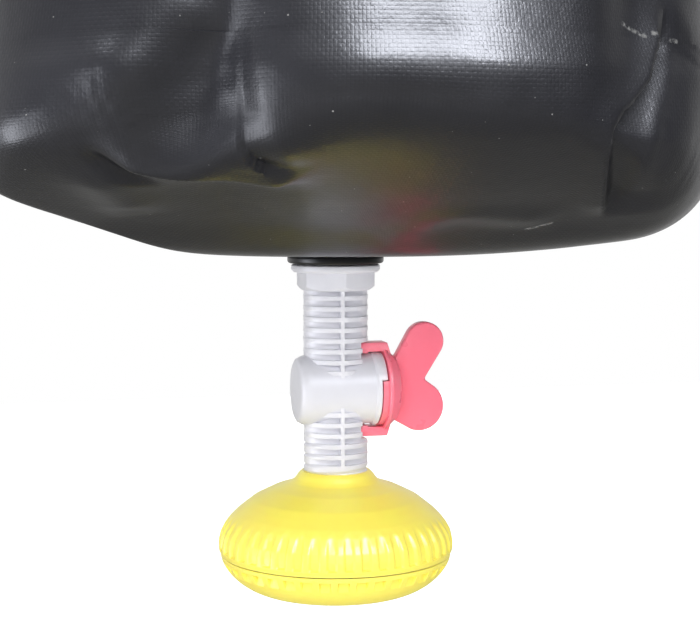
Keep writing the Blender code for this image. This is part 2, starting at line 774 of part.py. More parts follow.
def build_buckle_plug(material):
    """The solid half: head, guide tongue, and a frame with the webbing bar."""
    half = BUCKLE_THICKNESS / 2
    end = BAR_CENTRE + BAR_WIDTH / 2
    block = box((0, -BUCKLE_HALF_WIDTH, -half), (end, BUCKLE_HALF_WIDTH, half))
    obj = add_object("buckle_plug", block, material)
    bevel(obj, BUCKLE_EDGE, 2)
    room = half - BUCKLE_WALL - GAP
    tongue = box((-TONGUE_LENGTH, -TONGUE_HALF_WIDTH, -room), (OVERRUN, TONGUE_HALF_WIDTH, room))
    combine(obj, "UNION", [helper("tongue", tongue)])
    inner = BAR_CENTRE - BAR_WIDTH / 2
    cutters = [slot_box("slot", inner - SLOT_LENGTH, inner)]
    cutters.append(slot_box("window", PLUG_HEAD, PLUG_HEAD + PLUG_FRAME))
    for side in (-1, 1):
        middle = side * PRONG_OFFSET
        reach = PRONG_THICKNESS / 2 + 2 * GAP
        low = (-OVERRUN, middle - reach, -room - GAP)
        cutters.append(helper(f"root{side}", box(low, (PRONG_ROOT, middle + reach, room + GAP))))
    combine(obj, "DIFFERENCE", cutters)
    thin_bar(obj, 1)
    obj.location = (0, 0, BUCKLE_AXIS)
    finish(obj)


def build_prong(name, side, material):
    """One spring arm: a thin root in the plug and a thumb pad in the window."""
    room = BUCKLE_THICKNESS / 2 - BUCKLE_WALL - GAP
    start = PRONG_ROOT - GAP
    half = PRONG_THICKNESS / 2
    pad = PRONG_PAD_HALF_WIDTH - PRONG_OFFSET
    pad_start = -PRONG_PAD_START
    pad_end = pad_start - PRONG_PAD_LENGTH
    outline = [
        (start, -half),
        (start, half),
        (pad_start, half),
        (pad_start - half, pad),
        (pad_end + half, pad),
        (pad_end, half + half / 2),
        (-PRONG_LENGTH, half / 2),
        (-PRONG_LENGTH, -half),
    ]
    outline = [(x - start, side * y) for x, y in outline]
    obj = add_object(name, prism(outline, -room, room, "Z"), material)
    bevel(obj, PRONG_THICKNESS / 10)
    obj.location = (start, side * PRONG_OFFSET, BUCKLE_AXIS)
    finish(obj)


def build_gaskets(rubber):
    """Rubber washers outside and inside the bag, at the outlet."""
    outer = tube(OUTLET_HOLE, GASKET_RADIUS, -GAP - GASKET_THICKNESS, -GAP, ROUND_SIDES, GASKET_EDGE)
    finish(add_object("outer_gasket", outer, rubber[0], (0, 0, OUTLET_LEVEL)))
    low = FABRIC + GAP
    inner = tube(OUTLET_HOLE, GASKET_RADIUS, low, low + GASKET_THICKNESS, ROUND_SIDES, GASKET_EDGE)
    finish(add_object("inner_gasket", inner, rubber[1], (0, 0, OUTLET_LEVEL)))


def hex_outline(across_flats, turn=0.0):
    radius = across_flats / 2 / math.cos(math.pi / 6)
    corners = [turn + math.tau * i / 6 for i in range(6)]
    return [(radius * math.cos(a), radius * math.sin(a)) for a in corners]


def build_inner_nut(material):
    """The nut that clamps the fitting from inside the bag, with a washer face."""
    low = FABRIC + 2 * GAP + GASKET_THICKNESS
    block = prism(hex_outline(NUT_ACROSS_FLATS), low, low + NUT_HEIGHT, "Z")
    obj = add_object("inner_nut", block, material)
    flange = turned([(GASKET_RADIUS, low), (GASKET_RADIUS, low + NUT_FLANGE_HEIGHT)], ROUND_SIDES)
    combine(obj, "UNION", [helper("flange", flange)])
    hole = turned([(OUTLET_HOLE, low - OVERRUN), (OUTLET_HOLE, low + NUT_HEIGHT + OVERRUN)], ROUND_SIDES)
    combine(obj, "DIFFERENCE", [helper("hole", hole)])
    obj.location = (0, 0, OUTLET_LEVEL)
    finish(obj)


def pipe_ring(height, floor):
    """A ring of the finned pipe: its full round, or the oval floor between two fins."""
    width = PIPE_RIB_HALF_WIDTH
    ring = []
    for side in (1, -1):
        edge = math.sqrt(PIPE_RADIUS**2 - width**2)
        root = PIPE_CORE_DEPTH * math.sqrt(1 - (width / PIPE_RADIUS) ** 2)
        root = root if floor else edge
        ring.append((side * width, -side * edge, height))
        ring.append((side * width, -side * root, height))
        start = math.asin(width / PIPE_RADIUS)
        for i in range(1, FIN_SIDE_STEPS + 1):
            turn = start + (math.pi - 2 * start) * i / (FIN_SIDE_STEPS + 1)
            depth = PIPE_CORE_DEPTH if floor else PIPE_RADIUS
            ring.append((side * PIPE_RADIUS * math.sin(turn), -side * depth * math.cos(turn), height))
        ring.append((side * width, side * root, height))
        ring.append((side * width, side * edge, height))
    return ring


def finned_stack(name, top, foot, starts):
    """A closed pipe with one gap under each start height, moulded front and back."""
    rings = [pipe_ring(-top, False)]
    for start in starts:
        end = start + FIN_GAP
        for height, floor in ((start, False), (start, True), (end, True), (end, False)):
            rings.append(pipe_ring(-height, floor))
    rings.append(pipe_ring(-foot, False))
    bm = bmesh.new()
    loft(bm, rings)
    return helper(name, bm)


def sector(name, inner, outer, start, end, first, sweep):
    """A block round X from one angle on, counted from the front upwards, or a whole ring."""
    bm = bmesh.new()
    whole = sweep >= math.tau
    steps = max(2, round(sweep / SECTOR_STEP))
    section = [(inner, start), (outer, start), (outer, end), (inner, end)]
    rings = []
    for i in range(steps if whole else steps + 1):
        turn = first + sweep * i / steps
        rings.append([(x, -radius * math.cos(turn), radius * math.sin(turn)) for radius, x in section])
    loft(bm, rings, closed=whole)
    return helper(name, bm)


def move_mesh(obj, height):
    """Shifts a helper's points up or down, so that it can join a piece drawn elsewhere."""
    obj.data.transform(Matrix.Translation((0, 0, height)))
    return obj


def build_valve_body(material):
    """One moulding: tail, flange, hexagon, finned pipe and the tap's barrel."""
    upper = [UPPER_FIN_START + FIN_PITCH * i for i in range(UPPER_FIN_COUNT)]
    lower = [LOWER_FIN_START + FIN_PITCH * i for i in range(LOWER_FIN_COUNT)]
    obj = finned_stack("valve_body", HEX_FOOT - HEX_CHAMFER, PIPE_END, upper + lower)
    obj.hide_render = False
    obj.display_type = "TEXTURED"
    obj.data.materials.append(material)

    reach = math.hypot(HOOK_OUTER_RADIUS, HOOK_HALF_WIDTH) + GAP
    hook_room = sector("hook_room", BARREL_RADIUS, reach, HOOK_START - GAP, reach, 0.0, math.tau)
    combine(obj, "DIFFERENCE", [move_mesh(hook_room, -BARREL_DEPTH)])

    barrel = turned(
        [
            (BARREL_FACE_RADIUS / 2, -BARREL_LEFT),
            (BARREL_FACE_RADIUS, -BARREL_LEFT + BARREL_DOME),
            (BARREL_RADIUS - BARREL_EDGE, -BARREL_LEFT + 2 * BARREL_DOME),
            (BARREL_RADIUS, -BARREL_LEFT + 2 * BARREL_DOME + BARREL_EDGE),
            (BARREL_RADIUS, RIM_START),
            (RIM_RADIUS, RIM_START),
            (RIM_RADIUS, RIM_END),
        ],
        ROUND_SIDES,
        "X",
    )
    stop_end = RIM_END + STOP_LENGTH
    stop = sector("stop", SECTOR_INNER_RADIUS, RIM_RADIUS, RIM_START, stop_end, STOP_FROM, STOP_ANGLE)
    tail = turned([(TAIL_RADIUS, -HEX_TOP), (TAIL_RADIUS, TAIL_LENGTH)], ROUND_SIDES)
    flange_edge = FLANGE_RADIUS - FLANGE_CHAMFER
    flange = turned(
        [
            (FLANGE_RADIUS, -FLANGE_TOP),
            (FLANGE_RADIUS, -HEX_TOP + FLANGE_CHAMFER),
            (flange_edge, -HEX_TOP),
        ],
        ROUND_SIDES,
    )
    hexagon = build_hexagon()
    pieces = [move_mesh(helper("barrel", barrel), -BARREL_DEPTH), move_mesh(stop, -BARREL_DEPTH)]
    pieces += [helper("tail", tail), helper("flange", flange), hexagon]
    combine(obj, "UNION", pieces)

    ends = (-BARREL_LEFT + BARREL_WALL, RIM_END + OVERRUN)
    room = turned([(BARREL_BORE, end) for end in ends], ROUND_SIDES, "X")
    high = TAIL_LENGTH + OVERRUN
    water = turned([(WATER_BORE_RADIUS, -PIPE_END - OVERRUN), (WATER_BORE_RADIUS, high)], BORE_SIDES)
    combine(obj, "DIFFERENCE", [move_mesh(helper("room", room), -BARREL_DEPTH), helper("water", water)])
    obj.location = (0, 0, OUTLET_LEVEL)
    finish(obj)


def build_hexagon():
    """The spanner hexagon, its lower corners cut by a cone."""
    outline = hex_outline(HEX_ACROSS_FLATS, HEX_TURN)
    obj = helper("hexagon", prism(outline, -HEX_FOOT, -HEX_TOP + FLANGE_CHAMFER, "Z"))
    corner = HEX_ACROSS_FLATS / 2 / math.cos(math.pi / 6)
    wide = corner + OVERRUN
    cone = [
        (corner - 2 * HEX_CHAMFER, -HEX_FOOT - WELD_DISTANCE),
        (wide, -HEX_FOOT + HEX_CHAMFER + OVERRUN),
        (wide, 0.0),
    ]
    combine(obj, "INTERSECT", [helper("cone", turned(cone, ROUND_SIDES))])
    return obj


def wing_outline():
    """The two-lobed grip: a long upper lobe, a round lower one and a notch between."""
    root = CAP_END - CAP_TAPER - JOIN_LAP
    upper = (WING_UPPER_OUT, WING_UPPER_HEIGHT)
    lower = (WING_LOWER_OUT, WING_LOWER_HEIGHT)
    outline = [(root, -WING_ROOT_FOOT), (CAP_END, -WING_ROOT_FOOT)]
    outline += arc(lower, WING_LOWER_RADIUS, math.radians(-112), math.radians(58), 3 * ARC_STEPS)
    outline.append((WING_NOTCH_OUT, WING_NOTCH_HEIGHT))
    outline += arc(upper, WING_UPPER_RADIUS, math.radians(-30), math.radians(151), 3 * ARC_STEPS)
    outline += [(CAP_END, WING_ROOT_TOP), (root, WING_ROOT_TOP)]
    return outline


def build_tap_key(material):
    """One moulding: plug, cap with its stop skirt, two snap hooks and the grip."""
    groove = KEY_PLUG_RADIUS - 2 * (ORING_SECTION_RADIUS + GAP)
    half = ORING_SECTION_RADIUS + GAP
    plug = [(KEY_PLUG_RADIUS, -KEY_PLUG_END)]
    for offset in (-ORING_OFFSET, ORING_OFFSET):
        plug += [(KEY_PLUG_RADIUS, offset - half), (groove, offset - half)]
        plug += [(groove, offset + half), (KEY_PLUG_RADIUS, offset + half)]
    plug += [
        (KEY_PLUG_RADIUS, CAP_START),
        (CAP_RADIUS, CAP_START),
        (CAP_RADIUS, CAP_START + CAP_RIM),
        (CAP_FACE_RADIUS, CAP_END),
    ]
    obj = add_object("tap_key", turned(plug, ROUND_SIDES, "X"), material)

    play = GAP / SECTOR_INNER_RADIUS
    sweep = math.tau - STOP_ANGLE - TAP_TURN - 2 * play
    first = STOP_FROM - play - sweep
    ends = (RIM_END + GAP, CAP_START + CAP_RIM / 2)
    skirt = sector("skirt", SECTOR_INNER_RADIUS, RIM_RADIUS, *ends, first, sweep)
    wing = helper("wing", prism(wing_outline(), -WING_HALF_THICKNESS, WING_HALF_THICKNESS))
    bevel(wing, WING_EDGE)
    pieces = [skirt, wing]
    inner = RIM_RADIUS + GAP
    barb = BARREL_RADIUS + GAP
    end = CAP_START + CAP_RIM
    for side in (1, -1):
        outline = [
            (CAP_START, inner - JOIN_LAP),
            (CAP_START, inner),
            (HOOK_START + HOOK_BARB, inner),
            (HOOK_START + HOOK_BARB, barb),
            (HOOK_START + HOOK_BARB / 3, barb),
            (HOOK_START, inner),
            (HOOK_START, HOOK_OUTER_RADIUS),
            (end, HOOK_OUTER_RADIUS),
            (CAP_END - CAP_TAPER / 2, CAP_FACE_RADIUS),
            (end - JOIN_LAP, CAP_FACE_RADIUS),
            (end - JOIN_LAP, inner - JOIN_LAP),
        ]
        outline = [(x, side * z) for x, z in outline]
        pieces.append(helper(f"hook{side}", prism(outline, -HOOK_HALF_WIDTH, HOOK_HALF_WIDTH)))
    combine(obj, "UNION", pieces)
    reach = KEY_PLUG_RADIUS + OVERRUN
    port = turned([(WATER_BORE_RADIUS, -reach), (WATER_BORE_RADIUS, reach)], BORE_SIDES)
    combine(obj, "DIFFERENCE", [helper("port", port)])
    obj.location = (0, 0, OUTLET_LEVEL - BARREL_DEPTH)
    finish(obj)


def build_oring(name, offset, material):
    """A ring of round section in one of the plug's grooves."""
    bm = bmesh.new()
    major = KEY_PLUG_RADIUS - ORING_SECTION_RADIUS
    rings = []
    for i in range(BORE_SIDES):
        turn = math.tau * i / BORE_SIDES
        ring = []
        for j in range(ORING_SIDES):
            around = math.tau * j / ORING_SIDES
            radius = major + ORING_SECTION_RADIUS * math.cos(around)
            across = ORING_SECTION_RADIUS * math.sin(around)
            ring.append((offset + across, radius * math.cos(turn), radius * math.sin(turn)))
        rings.append(ring)
    loft(bm, rings, closed=True)
    finish(add_object(name, bm, material, (0, 0, OUTLET_LEVEL - BARREL_DEPTH)))


def dome_outline(inset=0.0):
    """(radius, depth) points of the head from the collar's foot to the equator."""
    points = []
    top = COLLAR_TOP + COLLAR_HEIGHT
    for i in range(DOME_STEPS + 1):
        width = HEAD_RADIUS - COLLAR_FOOT_RADIUS
        across, up = superellipse(width, EQUATOR_DEPTH - top, DOME_POWER, i / DOME_STEPS)
        points.append((COLLAR_FOOT_RADIUS + across, EQUATOR_DEPTH - up))
    return offset_line(points, inset) if inset else points


def flute_share(depth):
    """How deep the flutes are at a depth: they fade in over the dome and end at the lip."""
    if depth >= FLUTE_FOOT:
        return 0.0
    return smooth_step((depth - FLUTE_TOP) / (EQUATOR_DEPTH - FLUTE_TOP) * 2)


def fluted_ring(radius, depth, facets):
    ring = []
    count = FLUTE_COUNT * facets
    for i in range(count):
        turn = FLUTE_TURN + math.tau * i / count
        wave = (1 - math.cos(math.tau * i / facets)) / 2
        reach = radius - FLUTE_DEPTH * wave * flute_share(depth)
        ring.append((reach * math.cos(turn), reach * math.sin(turn), -depth))
    return ring


def build_head_dome(material):
    """The upper shell: threaded neck, gasket shelf, dome, fluted grip and lip."""
    outline = [(COLLAR_RADIUS, COLLAR_TOP)] + dome_outline()
    lip = (FLUTE_FOOT + SEAM_DEPTH) / 2
    outline += [(HEAD_RADIUS, FLUTE_FOOT - WELD_DISTANCE * 2), (HEAD_RADIUS, FLUTE_FOOT)]
    outline += [((HEAD_RADIUS + SEAM_RADIUS) / 2, lip), (SEAM_RADIUS, SEAM_DEPTH)]
    bm = bmesh.new()
    loft(bm, [fluted_ring(radius, depth, FLUTE_FACETS) for radius, depth in outline])
    obj = add_object("head_dome", bm, material)
    ceiling = [p for p in dome_outline(HEAD_WALL) if BOSS_RADIUS < p[0] < LEDGE_RADIUS]
    start = ceiling[0][1] - JOIN_LAP
    cavity = [
        (LEDGE_RADIUS / 4, -SHELF_FOOT),
        (BOSS_RADIUS, -SHELF_FOOT),
        (BOSS_RADIUS, -start),
    ]
    cavity += [(radius, -depth) for radius, depth in ceiling]
    cavity += [
        (LEDGE_RADIUS, -ceiling[-1][1] - HEAD_WALL),
        (LEDGE_RADIUS, -LEDGE_DEPTH),
        (SOCKET_RADIUS, -LEDGE_DEPTH),
        (SOCKET_RADIUS, -SEAM_DEPTH - OVERRUN),
    ]
    room = helper("room", turned(cavity, ROUND_SIDES))
    neck = turned([(HEAD_BORE, z) for z in (-COLLAR_TOP + OVERRUN, -GASKET_SEAT)], ROUND_SIDES)
    through = (-COLLAR_TOP, -SHELF_FOOT - OVERRUN)
    hole = turned([(HEAD_GASKET_BORE, z) for z in through], BORE_SIDES)
    combine(obj, "DIFFERENCE", [room, helper("neck", neck), helper("hole", hole)])
    obj.location = (0, 0, OUTLET_LEVEL)
    finish(obj)


def build_head_seals(rubber):
    """The flat gasket under the pipe's end and the ring between dome and rose."""
    top = -PIPE_END - GAP
    gasket = tube(HEAD_GASKET_BORE, PIPE_RADIUS, top - HEAD_GASKET_THICKNESS, top, ROUND_SIDES)
    finish(add_object("head_gasket", gasket, rubber[0], (0, 0, OUTLET_LEVEL)))
    high = -LEDGE_DEPTH - GAP
    inner = LEDGE_RADIUS + GAP
    seal = tube(inner, SPIGOT_RADIUS, high - SEAL_HEIGHT, high, ROUND_SIDES)
    finish(add_object("rose_seal", seal, rubber[1], (0, 0, OUTLET_LEVEL)))


def rose_outline():
    """(radius, depth) points of the rose's side, from its seam to the edge of its face."""
    points = []
    for i in range(ROSE_STEPS + 1):
        width = SEAM_RADIUS - ROSE_FACE_RADIUS
        across, up = superellipse(width, ROSE_DEPTH - ROSE_TOP, ROSE_POWER, 1 - i / ROSE_STEPS)
        points.append((ROSE_FACE_RADIUS + across, ROSE_TOP + up))
    return points


def rose_radius(depth):
    """The rose's outer radius at a depth, from its rounded outline."""
    down = (depth - ROSE_TOP) / (ROSE_DEPTH - ROSE_TOP)
    across = (1 - down**ROSE_POWER) ** (1 / ROSE_POWER)
    return ROSE_FACE_RADIUS + (SEAM_RADIUS - ROSE_FACE_RADIUS) * across


def cell_ring(depth, cut):
    """A ring with its cells sunk to their upright floor, or left on the outline."""
    radius = rose_radius(depth)
    shares = (0.0, CELL_WEB_SHARE, CELL_WEB_SHARE + CELL_DRAFT_SHARE, 1 - CELL_DRAFT_SHARE)
    ring = []
    for cell in range(CELL_COUNT):
        for i, share in enumerate(shares):
            turn = CELL_TURN + math.tau * (cell + share) / CELL_COUNT
            reach = min(radius, CELL_FLOOR_RADIUS) if cut and i > 1 else radius
            ring.append((reach * math.cos(turn), reach * math.sin(turn), -depth))
    return ring


def jet_places():
    """(x, y) of the spray holes: one in the middle and rings of six, twelve and so on."""
    places = [(0.0, 0.0)]
    for ring in range(1, JET_RINGS + 1):
        for i in range(JET_PER_RING * ring):
            turn = math.tau * i / (JET_PER_RING * ring)
            radius = JET_STEP * ring
            places.append((radius * math.cos(turn), radius * math.sin(turn)))
    return places


def jet_cutter():
    bm = bmesh.new()
    turns = [math.tau * i / JET_SIDES for i in range(JET_SIDES)]
    for x, y in jet_places():
        around = [(x + JET_RADIUS * math.cos(a), y + JET_RADIUS * math.sin(a)) for a in turns]
        ends = (-ROSE_DEPTH - ROSE_BULGE - OVERRUN, -ROSE_TOP)
        loft(bm, [[(*point, height) for point in around] for height in ends])
    return helper("jets", bm)


def build_rose_cap(material):
    """The lower shell: celled grip, rounded side, drilled face and inner spigot."""
    top = ROSE_TOP + CELL_TOP
    foot = top + CELL_HEIGHT
    rings = [cell_ring(ROSE_TOP, False), cell_ring(top, False), cell_ring(top, True)]
    rings.append(cell_ring(foot, True))
    for radius, depth in rose_outline():
        if depth > foot:
            rings.append(cell_ring(depth, False))
    face = ROSE_DEPTH + ROSE_BULGE
    middle = [(x / 4, y / 4, -face) for x, y, _ in rings[-1]]
    bm = bmesh.new()
    loft(bm, rings + [middle])
    obj = add_object("rose_cap", bm, material)
    spigot = turned([(SPIGOT_RADIUS, -ROSE_TOP - HEAD_WALL), (SPIGOT_RADIUS, -SPIGOT_TOP)], ROUND_SIDES)
    combine(obj, "UNION", [helper("spigot", spigot)])
    bore = SPIGOT_RADIUS - SPIGOT_WALL
    floor = ROSE_DEPTH - ROSE_FACE_THICKNESS
    cavity = [
        (bore, -SPIGOT_TOP + OVERRUN),
        (bore, -top - HEAD_WALL),
        (ROSE_FACE_RADIUS + HEAD_WALL, -floor + HEAD_WALL),
        (ROSE_FACE_RADIUS - HEAD_WALL, -floor),
        (ROSE_FACE_RADIUS / 4, -floor - ROSE_BULGE),
    ]
    cavity.reverse()
    combine(obj, "DIFFERENCE", [helper("cavity", turned(cavity, ROUND_SIDES)), jet_cutter()])
    obj.location = (0, 0, OUTLET_LEVEL)
    finish(obj)


def build_bag(finishes):
    build_base_cup(finishes["base_cup"])
    build_bag_body(finishes["bag_body"])
    build_rolled_mouth(finishes["rolled_mouth"])
    build_stiffener(finishes["stiffener_strip"])


def build_loop(finishes):
    build_strap("strap_right", 1, finishes["strap_right"])
    build_strap("strap_left", -1, finishes["strap_left"])
    build_buckle_socket(finishes["buckle_socket"])
    build_buckle_plug(finishes["buckle_plug"])
    build_prong("prong_front", -1, finishes["prong_front"])
    build_prong("prong_back", 1, finishes["prong_back"])


def build_valve(finishes):
    build_gaskets((finishes["outer_gasket"], finishes["inner_gasket"]))
    build_inner_nut(finishes["inner_nut"])
    build_valve_body(finishes["valve_body"])
    build_tap_key(finishes["tap_key"])
    build_oring("oring_blind_end", -ORING_OFFSET, finishes["oring_blind_end"])
    build_oring("oring_key_end", ORING_OFFSET, finishes["oring_key_end"])


def build_head(finishes):
    build_head_dome(finishes["head_dome"])
    build_head_seals((finishes["head_gasket"], finishes["rose_seal"]))
    build_rose_cap(finishes["rose_cap"])


def make_finishes():
    """One material for each sub-part: its colour, roughness and metallic value."""
    black_fabric = (0.020, 0.020, 0.024)
    black_plastic = (0.015, 0.015, 0.016)
    rubber = (0.012, 0.012, 0.013)
    yellow = (0.95, 0.72, 0.05)
    table = {
        "base_cup": (black_fabric, 0.35),
        "bag_body": (black_fabric, 0.35),
        "rolled_mouth": (black_fabric, 0.35),
        "stiffener_strip": ((0.05, 0.05, 0.05), 0.5),
        "strap_left": ((0.018, 0.018, 0.019), 0.85),
        "strap_right": ((0.018, 0.018, 0.019), 0.85),
        "buckle_socket": (black_plastic, 0.4),
        "buckle_plug": (black_plastic, 0.4),
        "prong_front": (black_plastic, 0.4),
        "prong_back": (black_plastic, 0.4),
        "outer_gasket": (rubber, 0.45),
        "inner_gasket": (rubber, 0.45),
        "inner_nut": ((0.66, 0.66, 0.67), 0.4),
        "valve_body": ((0.66, 0.66, 0.67), 0.4),
        "tap_key": ((0.95, 0.16, 0.20), 0.35),
        "oring_blind_end": (rubber, 0.5),
        "oring_key_end": (rubber, 0.5),
        "head_dome": (yellow, 0.35),
        "head_gasket": (rubber, 0.5),
        "rose_seal": (rubber, 0.5),
        "rose_cap": (yellow, 0.35),
    }
    return {name: make_material(name, *values) for name, values in table.items()}


def main():
    clear_scene()
    finishes = make_finishes()
    build_bag(finishes)
    build_loop(finishes)
    build_valve(finishes)
    build_head(finishes)


main()
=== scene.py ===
"""Looks of a hanging camp shower bag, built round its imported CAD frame."""

import logging
import math
from dataclasses import dataclass, replace
from enum import Enum
from typing import Callable, Optional, Sequence, Union

import bpy
import numpy as np
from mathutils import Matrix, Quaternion, Vector, noise


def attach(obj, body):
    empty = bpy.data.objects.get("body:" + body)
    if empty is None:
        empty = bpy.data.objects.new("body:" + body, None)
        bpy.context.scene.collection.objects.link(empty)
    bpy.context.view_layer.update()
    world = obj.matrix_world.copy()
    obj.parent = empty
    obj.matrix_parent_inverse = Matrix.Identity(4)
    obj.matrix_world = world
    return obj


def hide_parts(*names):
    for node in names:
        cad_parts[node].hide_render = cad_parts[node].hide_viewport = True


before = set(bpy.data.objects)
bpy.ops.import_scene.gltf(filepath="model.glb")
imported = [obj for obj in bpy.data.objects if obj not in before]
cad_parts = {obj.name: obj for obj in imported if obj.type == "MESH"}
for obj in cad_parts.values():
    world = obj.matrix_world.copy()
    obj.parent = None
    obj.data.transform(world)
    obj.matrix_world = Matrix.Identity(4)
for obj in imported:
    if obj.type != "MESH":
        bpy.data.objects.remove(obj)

LOG = logging.getLogger("shower_bag")
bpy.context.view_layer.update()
WELD = 0.000002
OUTLET_LEVEL = -0.501738
ROLL_LEVEL = -0.109588
BARREL_LEVEL = OUTLET_LEVEL - 0.0407
VIEW_TURN = math.radians(-13)
STOP_TURN = 71.0

Item = bpy.types.Object
Socket = bpy.types.NodeSocket
Profile = Sequence[tuple[float, float]]
Value = Union[float, tuple, Socket]
Array = np.ndarray
Shape = Callable[[Array, Array], Array]


class Axis(Enum):
    """The axis that a turned or drawn-out piece follows."""

    X = 0
    Y = 1
    Z = 2


# Bench: short names for the modelling operators


def deselect() -> None:
    """Leaves nothing selected."""
    bpy.ops.object.select_all(action="DESELECT")


def only(obj: Item) -> None:
    """Selects one object and makes it the active one."""
    deselect()
    obj.select_set(True)
    bpy.context.view_layer.objects.active = obj


def named(name: str) -> Item:
    """Names the object that an operator has just added, and returns it."""
    obj = bpy.context.active_object
    obj.name = name
    obj.data.name = name
    return obj


def points(obj: Item) -> Array:
    """The object's points as rows of x, y, z."""
    table = np.empty(len(obj.data.vertices) * 3)
    obj.data.vertices.foreach_get("co", table)
    return table.reshape(-1, 3)


def place(obj: Item, table: Array) -> None:
    """Puts the object's points where a table of rows says."""
    obj.data.vertices.foreach_set("co", np.ascontiguousarray(table, dtype=np.float32).ravel())
    obj.data.update()


def tidy_mesh(obj: Item, cap: bool = False) -> None:
    """Merges doubles and turns the faces outwards, after closing open ends if asked."""
    only(obj)
    bpy.ops.object.mode_set(mode="EDIT")
    bpy.ops.mesh.select_all(action="SELECT")
    bpy.ops.mesh.remove_doubles(threshold=WELD)
    if cap:
        bpy.ops.mesh.fill_holes(sides=0)
    bpy.ops.mesh.select_all(action="SELECT")
    bpy.ops.mesh.normals_make_consistent(inside=False)
    bpy.ops.object.mode_set(mode="OBJECT")


def grid(name: str, across: int, along: int, shape: Shape, cap: bool = False) -> Item:
    """A grid primitive laid over a surface.

    Args:
        name: The piece's name.
        across: Faces across the grid.
        along: Faces along it.
        shape: Gives the places for the column and row numbers of all points.
        cap: Whether open ends get a face.

    Returns:
        The new object, its doubles merged.
    """
    deselect()
    bpy.ops.mesh.primitive_grid_add(x_subdivisions=across, y_subdivisions=along, size=1)
    obj = named(name)
    spots = points(obj)
    column = np.rint((spots[:, 0] + 0.5) * across).astype(int)
    row = np.rint((spots[:, 1] + 0.5) * along).astype(int)
    place(obj, shape(column, row))
    tidy_mesh(obj, cap)
    return obj


def stretch_uv(obj: Item, columns: Sequence[float], rows: Sequence[float]) -> None:
    """Turns a grid's even UVs into metres, from the place of each column and row."""
    layer = obj.data.uv_layers.active.data
    uv = np.empty(len(layer) * 2)
    layer.foreach_get("uv", uv)
    uv = uv.reshape(-1, 2)
    for axis, marks in enumerate((columns, rows)):
        steps = np.linspace(0, 1, len(marks))
        uv[:, axis] = np.interp(uv[:, axis], steps, marks)
    layer.foreach_set("uv", uv.ravel())


def turned(
    name: str, profile: Profile, sides: int, axis: Axis = Axis.Z, ring: bool = False
) -> Item:
    """A round piece, extruded ring by ring from a circle.

    Args:
        name: The piece's name.
        profile: Its outline as (radius, place along the axis).
        sides: Points round it.
        axis: The axis that it turns about.
        ring: Whether the last ring joins the first, as on a washer.

    Returns:
        The new object, closed.
    """
    deselect()
    radius, level = profile[0]
    bpy.ops.mesh.primitive_circle_add(vertices=sides, radius=radius)
    obj = named(name)
    bpy.ops.object.mode_set(mode="EDIT")
    bpy.ops.mesh.select_all(action="SELECT")
    bpy.ops.transform.translate(value=(0, 0, level))
    for wide, high in profile[1:]:
        bpy.ops.mesh.extrude_region_move(TRANSFORM_OT_translate={"value": (0, 0, high - level)})
        growth = (wide / radius, wide / radius, 1)
        bpy.ops.transform.resize(value=growth, center_override=(0, 0, high))
        radius, level = wide, high
    bpy.ops.mesh.select_all(action="SELECT")
    if ring:
        bpy.ops.mesh.region_to_loop()
        bpy.ops.mesh.bridge_edge_loops()
    bpy.ops.object.mode_set(mode="OBJECT")
    if axis is Axis.X:
        place(obj, points(obj)[:, (2, 0, 1)])
    tidy_mesh(obj, cap=not ring)
    return obj


def drawn_out(name: str, outline: Profile, low: float, high: float, axis: Axis = Axis.Y) -> Item:
    """A flat outline extruded between two levels.

    Args:
        name: The piece's name.
        outline: (x, z) points for Y, (x, y) points for Z, or (z, -y) points for X.
        low: Where it starts along the axis.
        high: Where it ends.
        axis: The axis that it is drawn out along.

    Returns:
        The new object, closed.
    """
    deselect()
    bpy.ops.mesh.primitive_circle_add(vertices=len(outline), radius=1, fill_type="NGON")
    obj = named(name)
    flat = np.array([(a, b, low) for a, b in outline])
    along = (0, 0, high - low)
    if axis is Axis.Y:
        flat, along = flat[:, (0, 2, 1)], (0, high - low, 0)
    place(obj, flat)
    bpy.ops.object.mode_set(mode="EDIT")
    bpy.ops.mesh.select_all(action="SELECT")
    bpy.ops.mesh.extrude_region_move(TRANSFORM_OT_translate={"value": along})
    bpy.ops.object.mode_set(mode="OBJECT")
    if axis is Axis.X:
        spots = points(obj)
        place(obj, np.stack((spots[:, 2], -spots[:, 1], spots[:, 0]), axis=1))
    tidy_mesh(obj)
    return obj


def modify(obj: Item, kind: str, **settings: object) -> Item:
    """Adds a modifier with its settings and applies it."""
    only(obj)
    modifier = obj.modifiers.new(kind.lower(), kind)
    for key, value in settings.items():
        setattr(modifier, key, value)
    bpy.ops.object.modifier_apply(modifier=modifier.name)
    return obj


def soften(obj: Item, width: float, segments: int = 2, angle: float = 35) -> Item:
    """Rounds the edges sharper than an angle."""
    return modify(
        obj, "BEVEL", width=width, segments=segments, limit_method="ANGLE",
        angle_limit=math.radians(angle), use_clamp_overlap=True,
    )


def cut(obj: Item, cutter: Item, operation: str = "DIFFERENCE") -> Item:
    """Combines an object with another one, which is then gone."""
    modify(obj, "BOOLEAN", operation=operation, solver="EXACT", object=cutter)
    bpy.data.objects.remove(cutter, do_unlink=True)
    return obj


def joined(parts: Sequence[Item]) -> Item:
    """Joins objects into the first of them."""
    deselect()
    for part in parts:
        part.select_set(True)
    bpy.context.view_layer.objects.active = parts[0]
    bpy.ops.object.join()
    return parts[0]


def smooth(obj: Item, angle: float = 40) -> Item:
    """Smooth shading, with edges sharper than the angle kept."""
    only(obj)
    bpy.ops.object.shade_smooth_by_angle(angle=math.radians(angle))
    return obj


def shift(obj: Item, x: float = 0.0, y: float = 0.0, z: float = 0.0) -> Item:
    """Moves an object's points, and leaves its origin."""
    place(obj, points(obj) + np.array((x, y, z)))
    return obj


